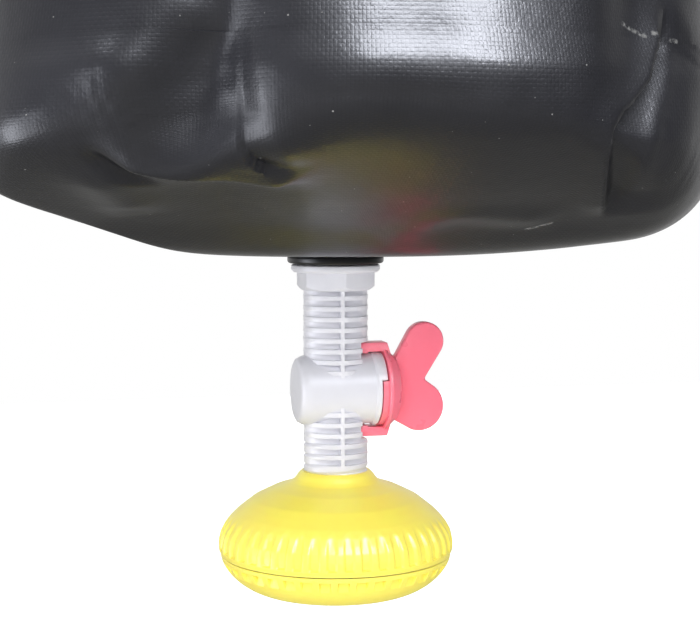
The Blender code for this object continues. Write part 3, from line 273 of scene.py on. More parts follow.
def settle(obj: Item, body: str, node: str, finish: "Finish") -> None:
    """Dresses a finished piece, hangs it on its body and hides the CAD node that it replaces.

    Args:
        obj: The finished piece.
        body: The CAD body that it rides on.
        node: The CAD node that it replaces, which is hidden.
        finish: Its finish.
    """
    obj.data.materials.clear()
    obj.data.materials.append(finish.material(obj.name))
    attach(obj, body)
    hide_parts(node)
    LOG.info("%s: %d faces on %s", obj.name, len(obj.data.polygons), body)


def ease(value: Array) -> Array:
    """A step from 0 to 1 with soft ends."""
    value = np.clip(value, 0, 1)
    return value * value * (3 - 2 * value)


def arc(centre: tuple[float, float], radius: float, first: float, last: float, steps: int) -> list:
    """Points of an arc, with its angles in degrees from the first axis."""
    turns = np.radians(np.linspace(first, last, steps + 1))
    return [(centre[0] + radius * math.cos(a), centre[1] + radius * math.sin(a)) for a in turns]


def beside(line: Profile, distance: float) -> list:
    """A plane line moved to the left of its direction."""
    spots = np.array(line, dtype=float)
    slope = np.gradient(spots, axis=0)
    slope /= np.maximum(np.linalg.norm(slope, axis=1), WELD)[:, None]
    return [tuple(row) for row in spots + distance * np.stack((-slope[:, 1], slope[:, 0]), axis=1)]


# Finishes


def ink(red: int, green: int, blue: int) -> tuple[float, float, float, float]:
    """A colour as the photograph shows it, from 0 to 255, for a shader."""
    parts = [part / 255 for part in (red, green, blue)]
    linear = [p / 12.92 if p <= 0.04045 else ((p + 0.055) / 1.055) ** 2.4 for p in parts]
    return (*linear, 1.0)


class Graph:
    """Short calls that add nodes to one node tree."""

    def __init__(self, tree: bpy.types.NodeTree) -> None:
        """Takes the tree that nodes are added to."""
        self.tree = tree

    def add(self, kind: str, feeds: Optional[dict] = None, **settings: object) -> bpy.types.Node:
        """A new node.

        Args:
            kind: The node's class name, without its ShaderNode part.
            feeds: Input names or numbers, and what goes into each.
            settings: The node's own properties.

        Returns:
            The node.
        """
        node = self.tree.nodes.new("ShaderNode" + kind)
        for key, value in settings.items():
            setattr(node, key, value)
        self.feed(node, feeds or {})
        return node

    def feed(self, node: bpy.types.Node, feeds: dict) -> None:
        """Links sockets to a node's inputs, or sets their numbers or colours."""
        for key, value in feeds.items():
            if isinstance(value, bpy.types.NodeSocket):
                self.tree.links.new(value, node.inputs[key])
            else:
                node.inputs[key].default_value = value

    def sum(self, operation: str, *terms: Value) -> Socket:
        """One step of arithmetic, such as ADD or MULTIPLY."""
        return self.add("Math", dict(enumerate(terms)), operation=operation).outputs[0]

    def times(self, first: Value, second: Value) -> Socket:
        """Two values multiplied."""
        return self.sum("MULTIPLY", first, second)

    def mix(self, factor: Value, first: Value, second: Value) -> Socket:
        """A blend of two colours."""
        feeds = {"Factor": factor, 6: first, 7: second}
        return self.add("Mix", feeds, data_type="RGBA").outputs[2]

    def span(
        self, value: Value, low: float, high: float, first: float = 0.0, last: float = 1.0
    ) -> Socket:
        """A value moved from one range to another and kept inside it."""
        feeds = {0: value, 1: low, 2: high, 3: first, 4: last}
        return self.add("MapRange", feeds, clamp=True).outputs[0]

    def noise(
        self, where: Value, scale: Value, detail: float = 3.0, roughness: float = 0.55
    ) -> Socket:
        """Smooth cloudy values from 0 to 1."""
        feeds = {"Vector": where, "Scale": scale, "Detail": detail, "Roughness": roughness}
        return self.add("TexNoise", feeds).outputs[0]

    def bump(self, strength: float, distance: float, height: Value, **feeds: Value) -> Socket:
        """A normal that a height bends."""
        feeds.update(Strength=strength, Distance=distance, Height=height)
        return self.add("Bump", feeds).outputs[0]

    def group(self, tree: bpy.types.NodeTree, **feeds: Value) -> bpy.types.Node:
        """A shared group, with its inputs set by name."""
        node = self.add("Group", node_tree=tree)
        self.feed(node, feeds)
        return node


def shared(name: str, inputs: dict, outputs: Sequence[str], fill: Callable) -> bpy.types.NodeTree:
    """A shader node group, built once.

    Args:
        name: The group's name.
        inputs: Input names with a default number, or None for a vector.
        outputs: Names of its value outputs.
        fill: Builds the nodes and gives the outputs' sockets in order.

    Returns:
        The group's tree.
    """
    if name in bpy.data.node_groups:
        return bpy.data.node_groups[name]
    tree = bpy.data.node_groups.new(name, "ShaderNodeTree")
    for key, value in inputs.items():
        kind = "NodeSocketVector" if value is None else "NodeSocketFloat"
        socket = tree.interface.new_socket(key, in_out="INPUT", socket_type=kind)
        if value is not None:
            socket.default_value = value
    for key in outputs:
        tree.interface.new_socket(key, in_out="OUTPUT", socket_type="NodeSocketFloat")
    start, end = tree.nodes.new("NodeGroupInput"), tree.nodes.new("NodeGroupOutput")
    for number, socket in enumerate(fill(Graph(tree), start.outputs)):
        tree.links.new(socket, end.inputs[number])
    return tree


def weave_group() -> bpy.types.NodeTree:
    """Threads over and under each other: Height, and Gap between the threads."""

    def fill(graph: Graph, given: bpy.types.bpy_prop_collection) -> list:
        waves = []
        rate = graph.sum("DIVIDE", math.pi, given["Pitch"])
        parts = graph.add("SeparateXYZ", {0: given["Vector"]})
        for axis in (0, 1):
            waves.append(graph.sum("SINE", graph.times(parts.outputs[axis], rate)))
        soft = given["Softness"]
        ridges = [graph.sum("POWER", graph.sum("ABSOLUTE", wave), soft) for wave in waves]
        under = graph.times(*ridges)
        sign = graph.times(*waves)
        lift = graph.span(sign, -0.4, 0.4, 0.0, 1.0)
        height = graph.sum("ADD", graph.times(under, 0.7), graph.times(lift, 0.3))
        return [height, graph.span(under, 0.0, 0.4, 1.0, 0.0)]

    inputs = {"Vector": None, "Pitch": 0.001, "Softness": 0.5}
    return shared("weave", inputs, ("Height", "Gap"), fill)


def dust_group() -> bpy.types.NodeTree:
    """Small specks, most of them left out: Mask."""

    def fill(graph: Graph, given: bpy.types.bpy_prop_collection) -> list:
        feeds = {"Vector": given["Vector"], "Scale": given["Scale"]}
        cells = graph.add("TexVoronoi", feeds)
        tint = graph.add("SeparateColor", {0: cells.outputs["Color"]})
        kept = graph.sum("LESS_THAN", tint.outputs[0], given["Amount"])
        size = graph.span(tint.outputs[1], 0.0, 1.0, 0.03, 0.11)
        near = graph.sum("LESS_THAN", cells.outputs["Distance"], size)
        return [graph.times(kept, near)]

    return shared("dust", {"Vector": None, "Scale": 300.0, "Amount": 0.2}, ("Mask",), fill)


def scuff_and_glint_group() -> bpy.types.NodeTree:
    """A broken pale line from Start to End: Mask."""

    def fill(graph: Graph, given: bpy.types.bpy_prop_collection) -> list:
        def vector(operation: str, *terms: Value, result: str = "Vector") -> Socket:
            node = graph.add("VectorMath", dict(enumerate(terms)), operation=operation)
            return node.outputs[result]

        run = vector("SUBTRACT", given["End"], given["Start"])
        away = vector("SUBTRACT", given["Vector"], given["Start"])
        share = graph.sum("DIVIDE", vector("DOT_PRODUCT", away, run, result="Value"),
                          vector("DOT_PRODUCT", run, run, result="Value"))
        held = graph.sum("MAXIMUM", 0.0, graph.sum("MINIMUM", 1.0, share))
        along = graph.add("VectorMath", {0: run, "Scale": held}, operation="SCALE").outputs[0]
        gap = vector("LENGTH", vector("SUBTRACT", away, along), result="Value")
        broken = graph.span(graph.noise(given["Vector"], 900.0, 3.0), 0.40, 0.55)
        line = graph.span(graph.sum("DIVIDE", gap, given["Width"]), 0.4, 1.0, 1.0, 0.0)
        return [graph.times(line, broken)]

    inputs = {"Vector": None, "Start": None, "End": None, "Width": 0.001}
    return shared("scuff_and_glint", inputs, ("Mask",), fill)


def grain_group() -> bpy.types.NodeTree:
    """The skin of a moulded piece: Height of a fine grain, and a broad Cloud."""

    def fill(graph: Graph, given: bpy.types.bpy_prop_collection) -> list:
        fine = graph.noise(given["Vector"], given["Scale"], 2.0)
        cloud = graph.noise(given["Vector"], graph.sum("DIVIDE", given["Scale"], 40.0), 3.0)
        return [fine, graph.span(cloud, 0.3, 0.7)]

    return shared("grain", {"Vector": None, "Scale": 2500.0}, ("Height", "Cloud"), fill)


def wear_and_shade_group() -> bpy.types.NodeTree:
    """Rubbed outer edges, and hollow corners that take a painted shade: Edge and Corner."""

    def fill(graph: Graph, given: bpy.types.bpy_prop_collection) -> list:
        bend = graph.add("NewGeometry").outputs["Pointiness"]
        ragged = graph.noise(given["Vector"], 400.0, 4.0)
        broken = graph.span(ragged, 0.35, 0.65, 0.4, 1.0)
        edge = graph.times(graph.span(bend, 0.52, 0.60), broken)
        return [edge, graph.span(bend, 0.48, 0.40)]

    return shared("edge_wear_and_corner_shade", {"Vector": None}, ("Edge", "Corner"), fill)


def blank(name: str) -> tuple[bpy.types.Material, Graph, bpy.types.Node, Socket, Socket]:
    """A new material with its graph, its Principled shader, and Object and UV places."""
    material = bpy.data.materials.new(name)
    material.use_nodes = True
    graph = Graph(material.node_tree)
    shader = material.node_tree.nodes["Principled BSDF"]
    where = graph.add("TexCoord")
    return material, graph, shader, where.outputs["Object"], where.outputs["UV"]


@dataclass(frozen=True)
class MouldedPlastic:
    """Injection-moulded plastic with a fine grain, slightly rubbed edges and painted shade in
    hollow corners.
    """

    colour: tuple
    shade: tuple
    edge: tuple
    roughness: float = 0.32
    grain: float = 0.00002
    glow: float = 0.0
    glow_depth: float = 0.002

    def material(self, name: str) -> bpy.types.Material:
        """The finish as a new material."""
        material, graph, shader, spot, _ = blank(name)
        grain = graph.group(grain_group(), Vector=spot)
        wear_and_shade = graph.group(wear_and_shade_group(), Vector=spot)
        cloud = graph.times(grain.outputs["Cloud"], 0.25)
        body = graph.mix(cloud, self.colour, self.shade)
        # Painted shade: hollow corners take the shaded colour.
        body = graph.mix(graph.times(wear_and_shade.outputs["Corner"], 0.6), body, self.shade)
        body = graph.mix(graph.times(wear_and_shade.outputs["Edge"], 0.5), body, self.edge)
        low, high = self.roughness - 0.04, self.roughness + 0.06
        rough = graph.span(grain.outputs["Cloud"], 0, 1, low, high)
        normal = graph.bump(0.6, self.grain, grain.outputs["Height"])
        graph.feed(shader, {"Base Color": body, "Roughness": rough, "Normal": normal})
        if self.glow:
            graph.feed(shader, {
                "Subsurface Weight": self.glow,
                "Subsurface Radius": self.shade[:3],
                "Subsurface Scale": self.glow_depth,
            })
        return material


@dataclass(frozen=True)
class CoatedFabric:
    """Glossy coated cloth: thread bumps that show in the highlights, painted shade between the
    threads, crumples, dust, and pale lines of a scratch and of painted glints.
    """

    colour: tuple
    roughness: float = 0.44
    pitch: float = 0.00105
    thread: float = 0.00005
    crumple: float = 0.0003
    dust: float = 0.13
    dust_scale: float = 420.0
    fine_scale: float = 150.0
    broad_scale: float = 38.0
    coat: float = 0.45
    coat_roughness: float = 0.20
    ior: float = 1.45
    scuffs_and_glints: tuple = ()

    def material(self, name: str) -> bpy.types.Material:
        """The finish as a new material."""
        material, graph, shader, spot, flat = blank(name)
        weave = graph.group(weave_group(), Vector=flat, Pitch=self.pitch)
        fine = graph.noise(spot, self.fine_scale, 4.0, 0.6)
        broad = graph.noise(spot, self.broad_scale, 3.0, 0.5)
        folds = graph.bump(0.5, self.crumple, fine)
        threads = graph.bump(0.8, self.thread, weave.outputs["Height"], Normal=folds)
        skin = graph.bump(0.4, self.thread, weave.outputs["Height"], Normal=folds)
        dust = graph.group(dust_group(), Vector=spot, Scale=self.dust_scale, Amount=self.dust)
        dust_and_glints = dust.outputs[0]
        grey = tuple(min(1.0, part * 1.35) for part in self.colour[:3]) + (1.0,)
        tone = graph.mix(graph.span(broad, 0.4, 0.7, 0.0, 0.6), self.colour, grey)
        # Painted shade: the gaps between the threads are darker.
        tone = graph.mix(graph.times(weave.outputs["Gap"], 0.5), tone, ink(20, 20, 23))
        # Pale lines: a scratch, and painted glints along the seam and a fold.
        for scuff_and_glint in self.scuffs_and_glints:
            line_mask = graph.group(scuff_and_glint_group(), Vector=spot, **scuff_and_glint.feeds())
            dust_and_glints = graph.sum("MAXIMUM", dust_and_glints, line_mask.outputs[0])
        # Dust specks and the pale lines, with their painted glints, in a pale colour.
        tone = graph.mix(graph.times(dust_and_glints, 0.6), tone, ink(150, 150, 148))
        rough = graph.span(broad, 0.35, 0.7, self.roughness - 0.03, self.roughness + 0.08)
        rough = graph.sum("ADD", rough, graph.times(dust_and_glints, 0.3))
        graph.feed(shader, {
            "Base Color": tone,
            "Roughness": rough,
            "Normal": threads,
            "Coat Normal": skin,
            "IOR": self.ior,
            "Coat Weight": self.coat,
            "Coat Roughness": self.coat_roughness,
        })
        return material


@dataclass(frozen=True)
class Rubber:
    """Dark rubber with a satin skin."""

    colour: tuple
    roughness: float = 0.27
    grain: float = 0.00003
    grain_scale: float = 1800.0

    def material(self, name: str) -> bpy.types.Material:
        """The finish as a new material."""
        material, graph, shader, spot, _ = blank(name)
        grain = graph.group(grain_group(), Vector=spot, Scale=self.grain_scale)
        wear_and_shade = graph.group(wear_and_shade_group(), Vector=spot)
        rubbed = graph.times(wear_and_shade.outputs["Edge"], 0.4)
        tone = graph.mix(rubbed, self.colour, ink(84, 84, 86))
        rough = graph.span(grain.outputs["Cloud"], 0, 1, self.roughness, self.roughness + 0.12)
        normal = graph.bump(0.5, self.grain, grain.outputs["Height"])
        graph.feed(shader, {"Base Color": tone, "Roughness": rough, "Normal": normal})
        return material


@dataclass(frozen=True)
class Webbing:
    """Woven tape: ribs across its width, a fuzz of fibres, and painted shade between the threads.
    """

    colour: tuple
    pitch: float = 0.0011
    flatness: float = 0.62
    thread: float = 0.00022
    fuzz_scale: float = 2600.0
    sheen: float = 0.3

    def material(self, name: str) -> bpy.types.Material:
        """The finish as a new material."""
        material, graph, shader, spot, flat = blank(name)
        slant = graph.add("Mapping", {"Vector": flat, "Scale": (1.0, self.flatness, 1.0)})
        weave = graph.group(weave_group(), Vector=slant.outputs[0], Pitch=self.pitch, Softness=0.8)
        fuzz = graph.noise(spot, self.fuzz_scale, 3.0)
        height = graph.sum("ADD", weave.outputs["Height"], graph.times(fuzz, 0.35))
        normal = graph.bump(0.9, self.thread, height)
        light = tuple(min(1.0, part * 2.2) for part in self.colour[:3]) + (1.0,)
        tone = graph.mix(graph.span(fuzz, 0.35, 0.7), self.colour, light)
        # Painted shade: the gaps between the threads are darker.
        tone = graph.mix(graph.times(weave.outputs["Gap"], 0.8), tone, ink(12, 12, 13))
        graph.feed(shader, {
            "Base Color": tone,
            "Roughness": graph.span(fuzz, 0.3, 0.7, 0.68, 0.9),
            "Normal": normal,
            "Sheen Weight": self.sheen,
        })
        return material


Finish = Union[MouldedPlastic, CoatedFabric, Rubber, Webbing]

BLACK_CLOTH = CoatedFabric(ink(28, 28, 34))
PALE_PLASTIC = MouldedPlastic(ink(222, 222, 229), ink(190, 190, 200), ink(240, 240, 244), 0.34)
RED_PLASTIC = MouldedPlastic(
    ink(255, 122, 144), ink(250, 104, 124), ink(255, 160, 172), 0.30, glow=0.15
)
YELLOW_PLASTIC = MouldedPlastic(
    ink(255, 241, 100), ink(255, 212, 80), ink(255, 248, 150), 0.33, glow=0.15
)
BLACK_PLASTIC = MouldedPlastic(ink(36, 36, 38), ink(28, 28, 30), ink(70, 70, 72), 0.42, 0.00004)
HEM_PLASTIC = MouldedPlastic(ink(64, 64, 66), ink(48, 48, 50), ink(96, 96, 98), 0.5)
BLACK_RUBBER = Rubber(ink(26, 26, 28))
BLACK_WEBBING = Webbing(ink(34, 34, 36))


# The bag


@dataclass
class Folds:
    """How the slack cloth leaves its round outline, as in the part's source."""

    cup_rise: float = 0.0570
    hem: float = 0.0100
    wall: float = 0.1130
    outlet_flat: float = 0.0210
    facet_start: float = 0.0426
    facet_slope: float = 21.4
    facet_soft: float = 0.0020
    keel_start: float = 0.0250
    keel_share: float = 0.72
    keel_soft: float = 0.0050
    turn: tuple = (
        (-12, 0), (-8.5, 0.5), (-5.5, 1.7), (-2.5, 3.4), (0.5, 4.6), (4, 4.9), (8, 4.7), (500, 4.7),
    )
    lean: tuple = (
        (45, 0), (49, 0.3), (53.6, 1.3), (58.6, 2.5), (68, 4.7),
        (80, 7.3), (95, 10.7), (110, 12.9), (120, 13.3), (500, 13.3),
    )
    dimple: tuple = (-0.0340, 0.0430, 0.0260, 0.0200, 0.0040)
    fold_top: tuple = (0.0830, 0.0700)
    fold_foot: tuple = (0.0690, 0.0150)
    fold_half: float = 0.0100
    fold_depth: float = 0.0040
    ripple: float = 0.0025
    ripples: int = 5

    def lift(self, side: Array, near: Array, height: Array) -> Array:
        """How far the base rises to the left, to the front and to the back."""
        facet = math.tan(math.radians(self.facet_slope)) * (-side - self.facet_start)
        keel = self.keel(near)
        away = ease((np.hypot(side, near) - self.outlet_flat) / self.keel_start)
        away *= ease((np.abs(near) - self.outlet_flat) / self.keel_start)
        over = (facet + height + np.sqrt((facet - height) ** 2 + self.facet_soft**2)) / 2 - height
        slope = (keel + height + np.sqrt((keel - height) ** 2 + self.keel_soft**2)) / 2 - height
        return np.maximum(np.maximum(0, over) * ease(-side / self.facet_start), slope * away)

    def keel(self, near: Array) -> Array:
        """The height of the slope that runs up to the front and the back."""
        top, run = self.keel_share * self.cup_rise, self.wall - self.keel_start
        return top * (np.abs(near) - self.keel_start) / run

    def drawn(self, facing: Array, height: Array) -> Array:
        """How far the cloth draws in: a soft turn over the slope, then a lean to the mouth.

        Args:
            facing: How squarely each place faces the front or the back, from 0 to 1.
            height: Its height above the outlet.
        """
        turn, lean = rounded(self.turn) / 1000, rounded(self.lean) / 1000
        inset = np.interp(height - self.keel(facing * self.wall), turn[:, 0], turn[:, 1])
        climb = np.interp(height, lean[:, 0], lean[:, 1])
        return inset * ease((facing - 0.55) / 0.4) + climb * ease(facing)

    def moved(self, spots: Array, hold: Array) -> Array:
        """The places of plain outline points after the main folds."""
        side, near = in_view(spots)
        height = spots[:, 2]
        lift = self.lift(side, near, height) * hold
        middle, rise, half, tall, depth = self.dimple
        hollow = depth * np.exp(-(((side - middle) / half) ** 2) - ((height - rise) / tall) ** 2)
        along = (height - self.fold_foot[1]) / (self.fold_top[1] - self.fold_foot[1])
        line = self.fold_foot[0] + along * (self.fold_top[0] - self.fold_foot[0])
        crease = np.exp(-(((side - line) / self.fold_half) ** 2)) * ease(along) * ease(2 - along)
        inward = (hollow + crease * self.fold_depth) * ease(near / self.facet_start)
        turn = np.arctan2(spots[:, 1], spots[:, 0])
        wave = (1 - np.cos(self.ripples * turn)) / 2
        inward += self.ripple * ease(height / 0.036) * wave
        radius = np.maximum(np.hypot(spots[:, 0], spots[:, 1]), WELD)
        inward = inward * hold + self.drawn(np.abs(near) / radius, height + lift)
        moved = spots.copy()
        moved[:, :2] -= spots[:, :2] / radius[:, None] * inward[:, None]
        moved[:, 2] += lift
        return moved


def in_view(spots: Array) -> tuple[Array, Array]:
    """How far to the right and how near the photograph's view sees places."""
    side = spots[..., 0] * math.cos(VIEW_TURN) + spots[..., 1] * math.sin(VIEW_TURN)
    near = spots[..., 0] * math.sin(VIEW_TURN) - spots[..., 1] * math.cos(VIEW_TURN)
    return side, near


def outwards(spots: Array) -> Array:
    """Level directions of unit length, away from the bag's middle."""
    level = spots * (1, 1, 0)
    return level / np.maximum(np.linalg.norm(level, axis=1), WELD)[:, None]


def crumpled(spots: Array, scale: float, depth: float, seed: float) -> Array:
    """Points moved along their own radius by soft creases, the same in every run."""
    moved = spots.copy()
    for number, spot in enumerate(spots):
        where = Vector(spot) * scale + Vector((seed, seed, seed))
        fold = noise.ridged_multi_fractal(where, 0.9, 2.1, 3, 0.9, 1.6) - 1.0
        reach = max(math.hypot(spot[0], spot[1]), WELD)
        moved[number, :2] += spot[:2] / reach * (fold * depth)
    return moved


def columns_round(front: int, back: int, half: float) -> Array:
    """Angles round the bag in radians, closer together on the side that is seen first."""
    middle = math.degrees(VIEW_TURN) - 90
    near = np.linspace(middle - half, middle + half, front + 1)
    far = np.linspace(middle + half, middle + 360 - half, back + 1)
    return np.radians(np.concatenate((near, far[1:])))


def rounded(line: Profile, passes: int = 2) -> Array:
    """A line of points with its corners cut, and its ends kept."""
    spots = np.array(line, dtype=float)
    for _ in range(passes):
        first, last = spots[:-1], spots[1:]
        middle = np.stack((first * 0.75 + last * 0.25, first * 0.25 + last * 0.75), axis=1)
        spots = np.vstack((spots[:1], middle.reshape(-1, spots.shape[1]), spots[-1:]))
    return spots


def outward(table: Array) -> Array:
    """Unit normals of a table of rows and columns that closes round the bag."""
    along, across = np.gradient(table, axis=0), np.gradient(table, axis=1)
    across[:, 0] = across[:, -1] = across[:, 0] + across[:, -1]
    along[:, 0] = along[:, -1] = along[:, 0] + along[:, -1]
    normal = np.cross(across, along)
    return normal / np.maximum(np.linalg.norm(normal, axis=2), 1e-12)[:, :, None]


def relaxed(table: Array, width: float, share: Array) -> Array:
    """A table of places with each column smoothed over a length of cloth, as far as share says."""
    steps = np.linalg.norm(np.diff(table, axis=0), axis=2)
    run = np.vstack((np.zeros((1, steps.shape[1])), np.cumsum(steps, axis=0)))
    weight = (np.vstack((steps[:1], steps)) + np.vstack((steps, steps[-1:]))) / 2
    close = np.exp(-(((run[:, None] - run[None]) / width) ** 2)) * weight[None]
    soft = np.einsum("ijc,jck->ick", close / close.sum(axis=1, keepdims=True), table)
    return table + (soft - table) * share[:, :, None]


def seen(line: Profile) -> Array:
    """World places of (side, near, height) millimetres as the photograph's view sees them."""
    spots = np.array(line, dtype=float) / 1000
    turn = ((math.cos(VIEW_TURN), math.sin(VIEW_TURN)), (math.sin(VIEW_TURN), -math.cos(VIEW_TURN)))
    spots[:, :2] = spots[:, :2] @ np.array(turn)
    return spots


@dataclass(frozen=True)
class Hollow:
    """A broad dent or swell.

    Attributes:
        centre: Its middle, as (side, near, height) in millimetres.
        rise: How high it stands, or how deep it goes if below 0.
        wide: How far it reaches to the sides.
        down: How far it reaches down.
        up: How far it reaches up.
        reach: How far behind its middle it fades out.
    """

    centre: tuple
    rise: float
    wide: float
    down: float
    up: float
    reach: float = 0.02

    def shift(self, spots: Array, _: Array) -> Array:
        """How each spot moves, level and away from the bag's middle."""
        gap = spots - seen([self.centre])[0]
        across, deep = in_view(gap)
        climb = gap[:, 2] / np.where(gap[:, 2] > 0, self.up, self.down)
        lift = self.rise * np.exp(-((across / self.wide) ** 2) - climb**2)
        lift *= ease(deep / self.reach + 2)
        return outwards(spots) * lift[:, None]


@dataclass(frozen=True)
class Dent:
    """A dent that takes the edge off the base's front and lets the cloth below it hang.

    Attributes:
        side: Where its middle is, in the photograph's view.
        inset: How far the base's edge lies inside the plain wall.
        depth: How far it goes in, and drop how far the slope under it hangs.
        wide: How far it reaches to the sides at the edge.
        down: How far it reaches down the slope, and up how far up the wall.
        slant: How far it moves to the right for each step up.
        narrow: The share of its width that it loses over its reach up.
        slope: How far the slope falls for each step in from the edge.
        flat: How far up from the edge it keeps its full depth.
        hang: How far down the slope hangs most, and how wide that reaches.
        fade: How near the view has to see the cloth for the full depth.
    """

    side: float
    inset: float = 0.0050
    depth: float = 0.0108
    drop: float = 0.0042
    wide: float = 0.0210
    down: float = 0.0120
    up: float = 0.0240
    slant: float = 0.2
    narrow: float = 0.4
    slope: float = 0.65
    flat: float = 0.004
    hang: float = 0.016
    fade: float = 0.04

    def shift(self, spots: Array, _: Array) -> Array:
        """How each spot moves."""
        side, near = in_view(spots)
        edge = np.sqrt(np.maximum(Folds.wall**2 - side**2, 0))
        climb = spots[:, 2] - Folds().keel(edge)
        run = climb - self.slope * np.maximum(0, edge - self.inset - near)
        wide = self.wide * (1 - self.narrow * np.clip(climb / self.up, 0, 1))
        across = np.exp(-(((side - self.side - self.slant * climb) / wide) ** 2))
        across *= ease(near / self.fade)
        rising = np.maximum(run - self.flat, 0) / self.up
        inward = np.exp(-(np.where(run > 0, rising, run / self.down) ** 2))
        hang = np.exp(-(((run + self.hang) / self.hang) ** 2))
        moved = -outwards(spots) * (self.depth * inward * across)[:, None]
        moved[:, 2] -= self.drop * hang * across
        return moved


@dataclass(frozen=True)
class Crease:
    """A crest or a valley along a line of (side, near, height) places in millimetres.

    Attributes:
        line: Its places, as the photograph's view sees them.
        rise: How high it stands, or how deep it goes if below 0.
        left: How far it reaches to the left of its direction, seen from outside.
        right: How far it reaches to the right.
        taper: The length over which its ends fade out.
        power: 2 for a soft line, down to 1 for a sharp one.
    """

    line: tuple
    rise: float
    left: float
    right: float
    taper: float = 0.012
    power: float = 2.0

    def shift(self, spots: Array, normals: Array) -> Array:
        """How each spot moves along its normal."""
        line = seen(rounded(self.line))
        nearest = np.full(len(spots), 9.0)
        aside, along = np.zeros(len(spots)), np.zeros(len(spots))
        done = 0.0
        for first, last in zip(line[:-1], line[1:]):
            run = last - first
            length = max(float(np.linalg.norm(run)), WELD)
            share = np.clip((spots - first) @ run / length**2, 0, 1)
            gap = spots - first - share[:, None] * run
            off = np.einsum("ij,ij->i", gap, normals)
            reach = np.sqrt(np.maximum(np.einsum("ij,ij->i", gap, gap) - 0.95 * off**2, 0))
            side = np.sign(np.einsum("ij,ij->i", np.cross(run, gap), normals))
            closer = reach < nearest
            nearest = np.where(closer, reach, nearest)
            aside = np.where(closer, side * reach, aside)
            along = np.where(closer, done + share * length, along)
            done += length
        width = np.where(aside > 0, self.left, self.right)
        fade = ease(along / self.taper + 0.05) * ease((done - along) / self.taper + 0.05)
        lift = self.rise * np.exp(-((np.abs(aside) / width) ** self.power)) * fade
        return normals * lift[:, None]


@dataclass(frozen=True)
class Sag:
    """Cloth that hangs lower under the middle and the right of the base's front.

    Attributes:
        drop: How far it hangs.
        left: Where it starts on the left, and left_soft over what width.
        right: Where it ends on the right, and right_soft over what width.
        front: How near the view it starts, and front_soft over what width.
        top: The height at which it fades, and top_soft over what height.
    """

    drop: float = 0.0030
    left: float = -0.030
    left_soft: float = 0.025
    right: float = 0.064
    right_soft: float = 0.030
    front: float = 0.025
    front_soft: float = 0.050
    top: float = 0.034
    top_soft: float = 0.018

    def shift(self, spots: Array, _: Array) -> Array:
        """How each spot moves."""
        side, near = in_view(spots)
        share = ease((side - self.left) / self.left_soft)
        share *= ease((self.right - side) / self.right_soft)
        share *= ease((near - self.front) / self.front_soft)
        share *= 1 - ease((spots[:, 2] - self.top) / self.top_soft)
        return np.stack((share * 0, share * 0, -self.drop * share), axis=1)


CREASES = (
    # The left-hand hollow, which takes the edge off the base there
    Dent(-0.0350),
    # The left-hand wall, which stands out over the pocket
    Hollow((-78, 78, 32), 0.0042, 0.0180, 0.0100, 0.0140),
    # The crest on its right, which runs on under it to the left
    Crease(
        ((-22, 96, 66), (-21, 97, 60), (-19, 98, 52), (-16, 99, 43), (-12, 96, 34), (-10, 84, 27),
         (-14, 79, 25)),
        0.0022, 0.0090, 0.0080, taper=0.020, power=1.6,
    ),
    Crease(
        ((-10, 88, 29), (-10, 84, 27), (-15, 79, 25), (-26, 81, 27), (-38, 86, 29), (-50, 86, 29),
         (-61, 85, 28)),
        0.0040, 0.0045, 0.0120, power=1.5,
    ),
    # The crest on its upper left
    Crease(
        ((-56, 90, 38), (-54, 90, 41), (-48, 90, 47), (-42, 91, 53), (-35, 93, 60), (-30, 94, 70)),
        0.0030, 0.0080, 0.0060,
    ),
    # The pocket in the left corner and the roll of cloth below it
    Crease(
        ((-62, 87, 31), (-61, 84, 28), (-58, 80, 26), (-51, 75, 24), (-43, 72, 22)),
        -0.0026, 0.0060, 0.0014,
    ),
    Crease(((-62, 81, 27), (-57, 68, 21), (-51, 50, 13)), 0.0020, 0.0080, 0.0080),
    # The lip over the pocket at the right, the pocket, and its far side
    Crease(
        ((82, 61, 66), (78, 67, 52), (73, 74, 43), (67, 89, 35), (67, 81, 27), (70, 59, 17),
         (72, 49, 12)),
        0.0012, 0.0006, 0.0060,
    ),
    Crease(
        ((83, 60, 66), (79, 67, 52), (74, 74, 43), (69, 87, 35), (69, 80, 27), (72, 59, 17),
         (73, 49, 12)),
        -0.0040, 0.0120, 0.0008,
    ),
    Crease(
        ((86, 59, 66), (84, 65, 50), (81, 76, 36), (79, 74, 25), (78, 59, 17), (74, 48, 12)),
        0.0008, 0.0030, 0.0030,
    ),
    # The shallow wave across the underside
    Crease(
        ((12, 38, 5), (16, 41, 7), (28, 54, 14), (35, 56, 15), (44, 53, 14), (52, 50, 12),
         (62, 48, 12)),
        0.0010, 0.0060, 0.0060,
    ),
    # The underside, which the water's weight pulls down
    Sag(),
)


@dataclass(frozen=True)
class ScuffAndGlint:
    """A pale broken line between two (side, near, height) places in millimetres, used for a scratch
    and for painted glints along edges.
    """

    start: tuple
    end: tuple
    width: float

    def feeds(self) -> dict:
        """Its ends in the world, and its width, as the pale-line group takes them."""
        ends = seen([self.start, self.end]) + (0, 0, OUTLET_LEVEL)
        return {"Start": ends[0], "End": ends[1], "Width": self.width}


SCUFFS_AND_GLINTS = (
    # The scratch at the right
    ScuffAndGlint((52, 43.5, 8.7), (58, 46.3, 10.4), 0.0009),
    # The seam over the pocket: a pale edge, partly its own pale core and partly a painted highlight
    ScuffAndGlint((71.5, 76.3, 60.6), (77.8, 72.6, 58.0), 0.0008),
    ScuffAndGlint((80.1, 71.0, 58.8), (88.0, 61.6, 57.4), 0.0008),
    # A painted glint along the fold at the left
    ScuffAndGlint((-20.8, 103, 58.5), (-17.0, 104, 50.5), 0.0012),
)


